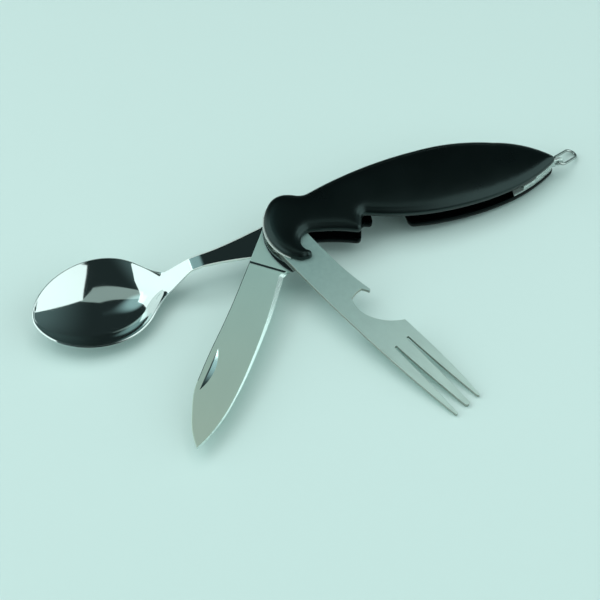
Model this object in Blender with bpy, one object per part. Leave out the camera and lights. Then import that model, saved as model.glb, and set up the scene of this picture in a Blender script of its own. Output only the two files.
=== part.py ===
"""Folding camping cutlery tool: a knife, a fork with a bottle opener and a spoon on one pivot,
in a handle of two pressed covers. The tools are fanned open, and the whole lies as it rests on a table.

The handle frame has its origin on the pivot axis, on the flat outer face of the lower cover.
+X runs to the tail, +Y to the closed back and +Z to the upper cover. The empty resting_pose turns
that frame to the way the opened tool lies. Every tool turns about +Z, and folds by turning
through the open front, which is the -Y side.
"""
import bpy
import bmesh
import numpy as np
from math import atan2, cos, hypot, pi, radians, sin
from mathutils import Matrix, Vector
from mathutils.geometry import delaunay_2d_cdt

MM = 0.001

# How the opened tool lies on a table
REST_ROLL = radians(8.03)
REST_PITCH = radians(4.33)

# Angle of each tool from the handle as it lies
FORK_ANGLE = radians(-63.5)
KNIFE_ANGLE = radians(-124.5)
SPOON_ANGLE = radians(-177.0)

# Sheet and plate thicknesses, and the gap between plates that turn on each other
COVER_SHEET = 0.9 * MM
SPOON_STOCK = 1.0 * MM
KNIFE_STOCK = 1.4 * MM
FORK_STOCK = 1.5 * MM
LINER_STOCK = 0.4 * MM
RUN_GAP = 0.2 * MM
EDGE_GAP = 0.3 * MM

# Covers: the pressed depth of each, the rounding of its edge and the rise of the upper one
LOWER_DEPTH = 3.4 * MM
UPPER_DEPTH = 2.9 * MM
EDGE_ROUND = 1.0 * MM
CROWN_RISE = 1.6 * MM

# Outline of the handle, as distances from the pivot
TAIL_REACH = 106.8 * MM
TAIL_SIDE = 1.3 * MM
HAUNCH_AT = TAIL_REACH - 20.8 * MM
HAUNCH_REACH = 14.3 * MM
BACK_AT = 57.0 * MM
BACK_REACH = 18.8 * MM
NECK_AT = 10.6 * MM
NECK_REACH = 10.9 * MM
HEAD_REACH = 6.9 * MM
HEAD_BACK = 13.9 * MM
HEAD_FRONT = 13.9 * MM
HEAD_CORNER_AT = 1.4 * MM
BEAK_AT = 5.4 * MM
BEAK_REACH = 15.0 * MM
BEAK_RADIUS = 1.6 * MM
THROAT_AT = 9.3 * MM
THROAT_REACH = 3.9 * MM
STEP_AT = 27.6 * MM
STEP_REACH = 9.3 * MM
LEDGE_AT = 29.9 * MM
LEDGE_REACH = 2.0 * MM
FRONT_AT = 65.0 * MM
FRONT_REACH = 9.0 * MM
FLANK_AT = TAIL_REACH - 18.8 * MM
FLANK_REACH = 6.8 * MM

# Notch of the lower cover, where the bent neck of the folded spoon passes
NOTCH_START = 34.0 * MM
NOTCH_END = 46.9 * MM
NOTCH_REACH = 5.6 * MM

# Back springs, liners and what fills the tail
SPRING_LINE = 8.8 * MM
SPRING_TAIL_LINE = 7.5 * MM
SPRING_HEAD_AT = -3.2 * MM
SPRING_BEND_AT = TAIL_REACH - 40.8 * MM
LINER_FRONT = 0.8 * MM
FORK_BLOCK_AT = TAIL_REACH - 9.6 * MM
SPACER_AT = TAIL_REACH - 14.8 * MM
SPOON_BLOCK_AT = TAIL_REACH - 18.8 * MM

# Pins and washers
PIVOT_RADIUS = 2.6 * MM
WASHER_RADIUS = 5.0 * MM
PIN_RADIUS = 1.3 * MM
MIDDLE_PIN = (45.0 * MM, 13.6 * MM)
TAIL_PIN = (TAIL_REACH - 6.2 * MM, 2.6 * MM)

# Fork, along its own axis from the pivot
FORK_LENGTH = 96.0 * MM
FORK_HALF_WIDTH = 7.6 * MM
FORK_TANG_RADIUS = 6.6 * MM
FORK_TIP_HALF_WIDTH = 6.0 * MM
FORK_SLOT_AT = 63.0 * MM
FORK_SLOT_WIDTH = 0.9 * MM
FORK_TINE_TIP = 0.9 * MM
FORK_TINE_ROOT = 2.9 * MM
FORK_TIP_ROUND = 0.45 * MM
OPENER_AT = 39.2 * MM
OPENER_SPAN = 17.8 * MM
OPENER_END = OPENER_AT + OPENER_SPAN
OPENER_DEPTH = 8.3 * MM
OPENER_LIP = 2.2 * MM
OPENER_LIP_SIDE = 6.6 * MM
OPENER_UNDERCUT = 1.7 * MM

# Knife, along its own axis from the pivot
KNIFE_LENGTH = 90.8 * MM
KNIFE_SPINE_REACH = 7.4 * MM
KNIFE_EDGE_REACH = 7.5 * MM
KNIFE_BELLY_AT = 66.0 * MM
KNIFE_KICK_AT = 14.6 * MM
KNIFE_KICK_REACH = 7.8 * MM
KNIFE_KICK_RAMP = 1.2 * MM
KNIFE_PLUNGE = 1.6 * MM
KNIFE_HUMP = 1.2 * MM
KNIFE_BEVEL = 1.7 * MM
KNIFE_GRIND = 0.15 * MM
KNIFE_EDGE_THICKNESS = 0.16 * MM
NICK_AT = 61.0 * MM
NICK_LENGTH = 17.5 * MM
NICK_SET_BACK = 1.6 * MM
NICK_BULGE = 1.2 * MM
NICK_DEPTH = 0.4 * MM

# Spoon, along its own axis from the pivot
SPOON_LENGTH = 95.2 * MM
SPOON_TANG_RADIUS = 7.1 * MM
SPOON_STEM_END = 2.7 * MM
SPOON_BEND_AT = NOTCH_START + 1.2 * MM
SPOON_BEND_SOFT = 1.5 * MM
BOWL_AT = NOTCH_END - 1.9 * MM
BOWL_NECK = 4.6 * MM
BOWL_HALF_WIDTH = 18.2 * MM
BOWL_WIDEST_AT = BOWL_AT + 25.0 * MM
BOWL_DROP = 8.6 * MM
BOWL_RISE = 1.2 * MM
BOWL_DEPTH = 7.6 * MM
BOWL_START_AT = BOWL_AT - 2.0 * MM
BEND_SLOPE = BOWL_DROP / (BOWL_AT - SPOON_BEND_AT)
DEEPEST_AT = BOWL_START_AT + 0.5 ** (1 / 1.1) * (SPOON_LENGTH - BOWL_START_AT)

# Eye and ring at the tail
EYE_AT = TAIL_REACH + 1.1 * MM
EYE_ROOT_AT = TAIL_REACH - 4.0 * MM
EYE_HOLE = 1.3 * MM
EYE_STOCK = 1.2 * MM
EYE_RADIUS = 2.2 * MM
EYE_SIDE = 2.1 * MM
RING_WIRE = 0.45 * MM
RING_LENGTH = 12.8 * MM
RING_WIDTH = 4.8 * MM
RING_TURN = radians(31)
RING_DIP = radians(26.9)

# Levels of the stack, each plate's under side, from the outer face of the lower cover
SPOON_Z = LOWER_DEPTH + RUN_GAP
LOWER_LINER_Z = SPOON_Z + SPOON_STOCK + RUN_GAP
KNIFE_Z = LOWER_LINER_Z + LINER_STOCK + RUN_GAP
UPPER_LINER_Z = KNIFE_Z + KNIFE_STOCK + RUN_GAP
FORK_Z = UPPER_LINER_Z + LINER_STOCK + RUN_GAP
UPPER_RIM_Z = FORK_Z + FORK_STOCK + RUN_GAP
TOP_Z = UPPER_RIM_Z + UPPER_DEPTH

# How finely curves and faces are divided
ARC_STEP = 3.0 * MM
LONG_STEP = 8.0 * MM
CROWN_PITCH = 3.4 * MM
CORNER_STEPS = 5
ROUND_STEPS = 3


def clear_scene():
    for thing in list(bpy.data.objects):
        bpy.data.objects.remove(thing, do_unlink=True)


def material(name, colour, roughness, metallic):
    made = bpy.data.materials.new(name)
    made.use_nodes = True
    shader = made.node_tree.nodes["Principled BSDF"]
    shader.inputs["Base Color"].default_value = (*colour, 1.0)
    shader.inputs["Roughness"].default_value = roughness
    shader.inputs["Metallic"].default_value = metallic
    return made


def empty(name, location, rotation, parent):
    made = bpy.data.objects.new(name, None)
    bpy.context.scene.collection.objects.link(made)
    made.location = location
    made.rotation_euler = rotation
    made.parent = parent
    return made


def add_object(name, shape, surface, parent, sharp=35.0, closed=True):
    """Makes a smooth-shaded object from a bmesh, with edges sharper than the given angle kept."""
    mesh = bpy.data.meshes.new(name)
    if closed:
        bmesh.ops.recalc_face_normals(shape, faces=shape.faces)
    shape.to_mesh(mesh)
    shape.free()
    mesh.shade_smooth()
    mesh.set_sharp_from_angle(angle=radians(sharp))
    mesh.materials.append(surface)
    made = bpy.data.objects.new(name, mesh)
    bpy.context.scene.collection.objects.link(made)
    made.parent = parent
    return made


def cut(target, name, shape):
    """Takes a shape away from an object with a hidden cutter."""
    cutter = add_object(name, shape, target.data.materials[0], target.parent)
    cutter.hide_render = True
    cutter.display_type = "WIRE"
    cutter.hide_set(True)
    boolean = target.modifiers.new(name, "BOOLEAN")
    boolean.operation = "DIFFERENCE"
    boolean.object = cutter
    return cutter


def ease_edges(target, width, segments=2):
    bevel = target.modifiers.new("eased edges", "BEVEL")
    bevel.width = width
    bevel.segments = segments
    bevel.limit_method = "ANGLE"
    bevel.angle_limit = radians(50)


# Curves and outlines in the plane

def arc(start, end, rise, step=ARC_STEP):
    """Points from start up to, but without, end, along an arc whose middle stands rise to the
    right of the straight way."""
    start = np.array(start)
    end = np.array(end)
    chord = end - start
    length = hypot(*chord)
    if abs(rise) < 1e-9:
        count = max(1, round(length / step))
        return [start + chord * i / count for i in range(count)]
    right = np.array([chord[1], -chord[0]]) / length
    radius = (length * length / 4 + rise * rise) / (2 * rise)
    centre = (start + end) / 2 + right * (rise - radius)
    first = start - centre
    sweep = 2 * atan2(length / 2, radius - rise) if rise > 0 else -2 * atan2(length / 2, rise - radius)
    count = max(2, round(abs(sweep * radius) / step))
    return [centre + turned(first, sweep * i / count) for i in range(count)]


def turned(point, angle):
    c = cos(angle)
    s = sin(angle)
    return np.array([point[0] * c - point[1] * s, point[0] * s + point[1] * c])


def soften(points, corners):
    """Rounds the named corners of a closed outline; corners holds (x, y, reach along the sides)."""
    outline = [np.array(p, dtype=float) for p in points]
    for x, y, reach in corners:
        count = len(outline)
        at = min(range(count), key=lambda i: hypot(outline[i][0] - x, outline[i][1] - y))
        corner = outline[at]
        before = walk(outline, at, reach, -1)
        after = walk(outline, at, reach, 1)
        kept = [outline[(after[1] + i) % count] for i in range((before[1] - after[1]) % count + 1)]
        bend = []
        for i in range(CORNER_STEPS + 1):
            t = i / CORNER_STEPS
            bend.append(before[0] * (1 - t) ** 2 + corner * 2 * t * (1 - t) + after[0] * t * t)
        outline = bend + kept
    return outline


def walk(outline, at, reach, way):
    """The place at a distance along a closed outline from a point, and the next point past it."""
    count = len(outline)
    here = outline[at]
    i = at
    while True:
        i = (i + way) % count
        leg = hypot(*(outline[i] - here))
        if leg > reach + 0.3 * MM:
            return here + (outline[i] - here) * reach / leg, i
        reach = max(reach - leg, 0)
        here = outline[i]


def inset(outline, distance):
    """Moves a closed counter-clockwise outline inwards, keeping its number of points."""
    points = np.array(outline)
    before = points - np.roll(points, 1, axis=0)
    after = np.roll(points, -1, axis=0) - points
    before /= np.linalg.norm(before, axis=1)[:, None]
    after /= np.linalg.norm(after, axis=1)[:, None]
    middle = before + after
    middle /= np.linalg.norm(middle, axis=1)[:, None]
    inward = np.stack([-middle[:, 1], middle[:, 0]], axis=1)
    lean = np.clip(before[:, 0] * middle[:, 0] + before[:, 1] * middle[:, 1], 0.5, 1)
    return points + inward * (distance / lean)[:, None]


def handle_outline(notched=False):
    """The handle's closed outline, counter-clockwise, with or without the notch for the spoon."""
    tail = (TAIL_REACH, TAIL_SIDE)
    haunch = (HAUNCH_AT, HAUNCH_REACH)
    back = (BACK_AT, BACK_REACH)
    neck = (NECK_AT, NECK_REACH)
    head_back = (HEAD_CORNER_AT, HEAD_BACK)
    head_front = (HEAD_CORNER_AT, -HEAD_FRONT)
    beak = (BEAK_AT, -BEAK_REACH)
    hook = (BEAK_AT + 2 * BEAK_RADIUS * sin(radians(18)), -BEAK_REACH + 2 * BEAK_RADIUS * cos(radians(18)))
    throat = (THROAT_AT, -THROAT_REACH)
    step = (STEP_AT, -STEP_REACH)
    ledge = (LEDGE_AT, -LEDGE_REACH)
    front = (FRONT_AT, -FRONT_REACH)
    flank = (FLANK_AT, -FLANK_REACH)
    points = arc(back, neck, 0.040 * (BACK_AT - NECK_AT))
    points += arc(neck, head_back, 0.05 * HEAD_BACK)
    points += arc(head_back, head_front, HEAD_REACH + HEAD_CORNER_AT)
    points += arc(head_front, beak, 0.1 * BEAK_AT)
    points += arc(beak, hook, BEAK_RADIUS, BEAK_RADIUS / 2)
    points += arc(hook, throat, -0.27 * (BEAK_REACH - THROAT_REACH), ARC_STEP / 2)
    points += arc(throat, step, -0.04 * (STEP_AT - THROAT_AT))
    points += arc(step, ledge, 0)
    leaf = arc(ledge, front, 0.05 * (FRONT_AT - LEDGE_AT))
    corners = [(*neck, 3.0 * MM), (*head_back, 3.2 * MM), (*step, 2.2 * MM), (*ledge, 2.0 * MM)]
    if notched:
        lobe = (NOTCH_START, level_at(leaf, NOTCH_START))
        jaw = (NOTCH_END, level_at(leaf, NOTCH_END))
        inner_start = (NOTCH_START + 0.7 * MM, NOTCH_REACH)
        inner_end = (NOTCH_END - 0.6 * MM, NOTCH_REACH)
        points += [p for p in leaf if p[0] < NOTCH_START - ARC_STEP / 3]
        points += arc(lobe, inner_start, 0) + arc(inner_start, inner_end, 0) + arc(inner_end, jaw, 0)
        points += [np.array(jaw)] + [p for p in leaf if p[0] > NOTCH_END + ARC_STEP / 3]
        corners += [(*lobe, 2.0 * MM), (*inner_start, 2.4 * MM), (*inner_end, 2.4 * MM), (*jaw, 2.2 * MM)]
    else:
        points += leaf
    points += arc(front, flank, 0.03 * (FLANK_AT - FRONT_AT))
    points += arc(flank, tail, 0.05 * (TAIL_REACH - FLANK_AT))
    points += arc(tail, haunch, 0.073 * hypot(TAIL_REACH - HAUNCH_AT, HAUNCH_REACH))
    points += arc(haunch, back, 0.05 * (HAUNCH_AT - BACK_AT))
    corners.append((*tail, 2.2 * MM))
    return soften(points, corners)


def level_at(points, x):
    """The Y of a run of points with rising X at the given X."""
    return float(np.interp(x, [p[0] for p in points], [p[1] for p in points]))


def side_level(outline, x, side):
    """The Y where a closed outline crosses the given X, on its back (1) or front (-1) side."""
    points = np.array(outline)
    ahead = np.roll(points, -1, axis=0)
    levels = []
    for a, b in zip(points, ahead):
        if (a[0] - x) * (b[0] - x) <= 0 and abs(a[0] - b[0]) > 1e-12:
            levels.append(a[1] + (b[1] - a[1]) * (x - a[0]) / (b[0] - a[0]))
    return max(levels) if side > 0 else min(levels)


# Solids from outlines

def plate(outline, low, high):
    """A closed plate with the given outline, between two levels."""
    shape = bmesh.new()
    base = [shape.verts.new((x, y, low)) for x, y in outline]
    face = shape.faces.new(base)
    grown = bmesh.ops.extrude_face_region(shape, geom=[face])
    lifted = [v for v in grown["geom"] if isinstance(v, bmesh.types.BMVert)]
    bmesh.ops.translate(shape, verts=lifted, vec=(0, 0, high - low))
    return shape


def disc(radius, low, high, centre=(0, 0), segments=32):
    """A closed round pin or disc between two levels."""
    shape = bmesh.new()
    where = Matrix.Translation((centre[0], centre[1], (low + high) / 2))
    bmesh.ops.create_cone(shape, cap_ends=True, segments=segments, radius1=radius, radius2=radius,
                          depth=high - low, matrix=where)
    return shape


def bridge(shape, lower, upper):
    count = len(lower)
    for i in range(count):
        j = (i + 1) % count
        shape.faces.new((lower[i], lower[j], upper[j], upper[i]))


def ring_of(shape, outline, z):
    return [shape.verts.new((x, y, z)) for x, y in outline]


def crowned_face(shape, rim, z, rise):
    """Closes a rim with a face that swells evenly, as a pressed sheet does, by rise at most."""
    outline = [Vector(v.co.xy) for v in rim]
    if rise == 0:
        shape.faces.new(rim)
        return
    pitch = CROWN_PITCH
    border = np.array([v.co.xy for v in rim])
    lattice = []
    low = border.min(axis=0)
    high = border.max(axis=0)
    rows = int((high[1] - low[1]) / (pitch * 0.866)) + 1
    for row in range(rows):
        y = low[1] + (row + 0.5) * pitch * 0.866
        for column in range(int((high[0] - low[0]) / pitch) + 2):
            x = low[0] + (column + 0.5 * (row % 2)) * pitch
            if inside(border, x, y) and gap_to(border, x, y) > 0.45 * pitch:
                lattice.append(Vector((x, y)))
    edges = [(i, (i + 1) % len(outline)) for i in range(len(outline))]
    places, _, faces, origins, _, _ = delaunay_2d_cdt(outline + lattice, edges, [], 1, 1e-7)
    fixed = {i: origins[i][0] for i in range(len(places)) if origins[i] and origins[i][0] < len(outline)}
    heights = swelling(places, faces, fixed) * rise
    verts = [rim[fixed[i]] if i in fixed else shape.verts.new((p.x, p.y, z + heights[i]))
             for i, p in enumerate(places)]
    for face in faces:
        shape.faces.new([verts[i] for i in face])


def swelling(places, faces, fixed):
    """Height from 0 to 1 of an evenly loaded sheet held at its border, at each place."""
    count = len(places)
    near = [set() for _ in range(count)]
    for face in faces:
        for a, b in zip(face, face[1:] + face[:1]):
            near[a].add(b)
            near[b].add(a)
    matrix = np.eye(count)
    load = np.zeros(count)
    for i in range(count):
        if i in fixed:
            continue
        for j in near[i]:
            matrix[i, j] = -1 / len(near[i])
            load[i] += (places[i] - places[j]).length_squared / len(near[i])
    sag = np.maximum(np.linalg.solve(matrix, load), 0)
    return (sag / sag.max()) ** 0.75


def inside(border, x, y):
    ahead = np.roll(border, -1, axis=0)
    crossing = (border[:, 1] > y) != (ahead[:, 1] > y)
    with np.errstate(divide="ignore", invalid="ignore"):
        reach = border[:, 0] + (y - border[:, 1]) * (ahead[:, 0] - border[:, 0]) / (ahead[:, 1] - border[:, 1])
    return np.count_nonzero(crossing & (x < reach)) % 2 == 1


def gap_to(border, x, y):
    ahead = np.roll(border, -1, axis=0)
    side = ahead - border
    along = np.clip(((x - border[:, 0]) * side[:, 0] + (y - border[:, 1]) * side[:, 1])
                    / (side ** 2).sum(axis=1), 0, 1)
    near = border + side * along[:, None]
    return float(np.hypot(near[:, 0] - x, near[:, 1] - y).min())


def cover(name, outline, depth, rise, surface, parent, upward):
    """A pressed cover: a shallow tray with a rolled edge and a crowned face, open at its rim."""
    shape = bmesh.new()
    levels = [(0, 0), (0, depth - EDGE_ROUND)]
    for i in range(1, ROUND_STEPS + 1):
        turn = pi / 2 * i / ROUND_STEPS
        levels.append((EDGE_ROUND * (1 - cos(turn)), depth - EDGE_ROUND * (1 - sin(turn))))
    outer = [ring_of(shape, inset(outline, d), z) for d, z in levels]
    for lower, upper in zip(outer, outer[1:]):
        bridge(shape, lower, upper)
    crowned_face(shape, outer[-1], depth, rise)
    inner_round = 0.3 * EDGE_ROUND
    inner = [ring_of(shape, inset(outline, COVER_SHEET + d), z)
             for d, z in [(0, 0), (0, depth - COVER_SHEET - inner_round), (inner_round, depth - COVER_SHEET)]]
    for lower, upper in zip(inner, inner[1:]):
        bridge(shape, lower, upper)
    crowned_face(shape, inner[-1], depth - COVER_SHEET, rise)
    bridge(shape, outer[0], inner[0])
    if not upward:
        bmesh.ops.scale(shape, vec=(1, 1, -1), verts=shape.verts)
    made = add_object(name, shape, surface, parent, sharp=50.0)
    made.location.z = UPPER_RIM_Z if upward else LOWER_DEPTH
    return made


def add_hole(target, name, radius, centre=(0, 0)):
    cut(target, name, disc(radius, -TOP_Z, 2 * TOP_Z, centre))


def run_between(outline, start, end):
    """The points of a closed outline from the one nearest start to the one nearest end."""
    points = [np.array(p) for p in outline]
    first = min(range(len(points)), key=lambda i: hypot(*(points[i] - start)))
    last = min(range(len(points)), key=lambda i: hypot(*(points[i] - end)))
    count = (last - first) % len(points) + 1
    return [points[(first + i) % len(points)] for i in range(count)]


def block(low, high):
    """A closed box between two corners."""
    shape = bmesh.new()
    middle = (Vector(low) + Vector(high)) / 2
    size = Vector(high) - Vector(low)
    bmesh.ops.create_cube(shape, size=1, matrix=Matrix.Translation(middle) @ Matrix.Diagonal((*size, 1)))
    return shape


def add_pin_holes(target):
    add_hole(target, target.name + "_middle_hole", PIN_RADIUS + RUN_GAP, MIDDLE_PIN)
    add_hole(target, target.name + "_tail_hole", PIN_RADIUS + RUN_GAP, TAIL_PIN)
    side = EYE_STOCK / 2 + EDGE_GAP
    cut(target, target.name + "_eye_slot", block((EYE_ROOT_AT - EDGE_GAP, EYE_SIDE - side, 0),
                                                 (TAIL_REACH + MM, EYE_SIDE + side, TOP_Z)))


def liner(name, z, surface, parent):
    """A thin plate between two tools: head, back and tail of the handle, open along the front."""
    outline = inset(handle_outline(), EDGE_GAP)
    front = (SPACER_AT, side_level(outline, SPACER_AT, -1))
    back_and_head = run_between(outline, (TAIL_REACH, TAIL_SIDE), (HEAD_CORNER_AT, -HEAD_FRONT))
    throat = [(0.62 * THROAT_AT, -0.8 * HEAD_FRONT), (0.45 * THROAT_AT, -0.3 * HEAD_FRONT),
              (THROAT_AT, LINER_FRONT), (SPACER_AT - 4 * MM, LINER_FRONT), front]
    end = run_between(outline, (SPACER_AT + 2 * MM, front[1]), (TAIL_REACH, TAIL_SIDE))
    shape = plate([tuple(p) for p in back_and_head + throat + end[:-1]], z, z + LINER_STOCK)
    made = add_object(name, shape, surface, parent)
    add_hole(made, name + "_pivot_hole", PIVOT_RADIUS + RUN_GAP)
    add_pin_holes(made)
    return made


def spring(name, z, stock, block_at, surface, parent):
    """A back spring in the layer of one tool: a bar along the back and a block that fills the tail."""
    outline = inset(handle_outline(), EDGE_GAP)
    front = (block_at, side_level(outline, block_at, -1))
    head = (SPRING_HEAD_AT, side_level(outline, SPRING_HEAD_AT, 1))
    back = run_between(outline, (TAIL_REACH, TAIL_SIDE), (SPRING_HEAD_AT + 1.5 * MM, head[1]))
    inner = [head, (SPRING_HEAD_AT, SPRING_LINE), (SPRING_BEND_AT, SPRING_LINE)]
    inner += [(block_at - MM, SPRING_TAIL_LINE), (block_at, SPRING_TAIL_LINE - MM), front]
    end = run_between(outline, (block_at + 2 * MM, front[1]), (TAIL_REACH, TAIL_SIDE))
    shape = plate([tuple(p) for p in back + inner + end[:-1]], z, z + stock)
    made = add_object(name, shape, surface, parent)
    add_pin_holes(made)
    return made


def even_slopes(knots):
    """Slopes at the knots of the smoothest curve through them that starts and ends level."""
    places = np.array([k[0] for k in knots])
    levels = np.array([k[1] for k in knots])
    gaps = np.diff(places)
    steps = np.diff(levels) / gaps ** 2
    matrix = np.eye(len(knots))
    load = np.zeros(len(knots))
    for i in range(1, len(knots) - 1):
        matrix[i, i - 1:i + 2] = 1 / gaps[i - 1], 2 / gaps[i - 1] + 2 / gaps[i], 1 / gaps[i]
        load[i] = 3 * (steps[i - 1] + steps[i])
    return np.linalg.solve(matrix, load)


def smooth_level(knots, x, slopes=None):
    """The level of a smooth curve through a few knots with rising X."""
    places = np.array([k[0] for k in knots])
    levels = np.array([k[1] for k in knots])
    slopes = np.gradient(levels, places) if slopes is None else slopes
    i = int(np.clip(np.searchsorted(places, x) - 1, 0, len(places) - 2))
    gap = places[i + 1] - places[i]
    t = (x - places[i]) / gap
    return float(levels[i] * (1 + 2 * t) * (1 - t) ** 2 + slopes[i] * gap * t * (1 - t) ** 2
                 + levels[i + 1] * t * t * (3 - 2 * t) + slopes[i + 1] * gap * t * t * (t - 1))


def spread(start, end, count):
    """Places from start to end, close together at both."""
    return [start + (end - start) * (1 - cos(pi * i / count)) / 2 for i in range(count + 1)]


def loft(sections):
    """A closed solid through sections with the same number of points."""
    shape = bmesh.new()
    rings = [[shape.verts.new(p) for p in section] for section in sections]
    for lower, upper in zip(rings, rings[1:]):
        bridge(shape, lower, upper)
    shape.faces.new(rings[0])
    shape.faces.new(rings[-1])
    return shape


# Tools

def fork_outline():
    """The fork's closed outline, counter-clockwise: tang, edge, three tines, opener."""
    edge = FORK_HALF_WIDTH
    back = 0.72 * FORK_HALF_WIDTH
    tip = FORK_LENGTH - 0.5 * MM
    shoulder = OPENER_END + 5 * MM
    floor = OPENER_LIP_SIDE - OPENER_DEPTH
    tine = FORK_TIP_HALF_WIDTH
    points = arc((0, FORK_TANG_RADIUS), (0, -FORK_TANG_RADIUS), FORK_TANG_RADIUS)
    points += arc((0, -FORK_TANG_RADIUS), (0.5 * FORK_LENGTH, -edge - 0.3 * MM), 0.5 * MM, LONG_STEP)
    points += arc((0.5 * FORK_LENGTH, -edge - 0.3 * MM), (tip, -tine), 0.5 * MM, LONG_STEP)
    for side in (-1, 1):
        root = side * FORK_TINE_ROOT
        outer = tine - FORK_TINE_TIP if side < 0 else tine - FORK_TINE_TIP - 0.4 * MM
        inner = FORK_TINE_TIP
        root_half = FORK_SLOT_WIDTH / 2
        first = side * (outer if side < 0 else inner)
        last = side * (inner if side < 0 else outer)
        if side < 0:
            points += arc((tip, -tine), (tip, first), FORK_TIP_ROUND, FORK_TIP_ROUND)
        points += arc((tip, first), (FORK_SLOT_AT, root - root_half), 0.2 * MM, LONG_STEP)
        points += arc((FORK_SLOT_AT, root - root_half), (FORK_SLOT_AT, root + root_half), -root_half, 0.3 * MM)
        points += arc((FORK_SLOT_AT, root + root_half), (tip, last), 0.2 * MM, LONG_STEP)
        following = FORK_TINE_TIP if side < 0 else tine - 0.4 * MM
        points += arc((tip, last), (tip, following), FORK_TIP_ROUND, FORK_TIP_ROUND)
    points += arc((tip, tine - 0.4 * MM), (shoulder, edge - 0.4 * MM), 0.5 * MM, LONG_STEP)
    points += arc((shoulder, edge - 0.4 * MM), (OPENER_END, edge - 0.4 * MM), 0.1 * MM)
    points += arc((OPENER_END, edge - 0.4 * MM), (OPENER_AT + 0.4 * OPENER_SPAN, floor), -1.3 * MM, 1.2 * MM)
    points += arc((OPENER_AT + 0.4 * OPENER_SPAN, floor), (OPENER_AT - OPENER_UNDERCUT + 0.6 * MM, floor + 0.8 * MM),
                  -0.8 * MM, 1.2 * MM)
    points += arc((OPENER_AT - OPENER_UNDERCUT + 0.6 * MM, floor + 0.8 * MM),
                  (OPENER_AT - OPENER_UNDERCUT, OPENER_LIP_SIDE - OPENER_LIP), -0.4 * MM, 1.2 * MM)
    points += arc((OPENER_AT - OPENER_UNDERCUT, OPENER_LIP_SIDE - OPENER_LIP),
                  (OPENER_AT + 0.9 * MM, OPENER_LIP_SIDE - 0.8 * MM), -0.1 * MM)
    points += arc((OPENER_AT + 0.9 * MM, OPENER_LIP_SIDE - 0.8 * MM), (OPENER_AT, OPENER_LIP_SIDE), 0.35 * MM, 0.5 * MM)
    points += arc((OPENER_AT, OPENER_LIP_SIDE), (0.66 * OPENER_AT, back), -0.2 * MM)
    points += arc((0.66 * OPENER_AT, back), (0, FORK_TANG_RADIUS), -0.3 * MM, LONG_STEP)
    return points


def fork(surface, parent):
    joint = empty("fork_joint", (0, 0, FORK_Z), (0, 0, FORK_ANGLE), parent)
    made = add_object("fork", plate(fork_outline(), 0, FORK_STOCK), surface, joint)
    ease_edges(made, 0.22 * MM)
    add_hole(made, "fork_pivot_hole", PIVOT_RADIUS + RUN_GAP)
    return made


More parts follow.
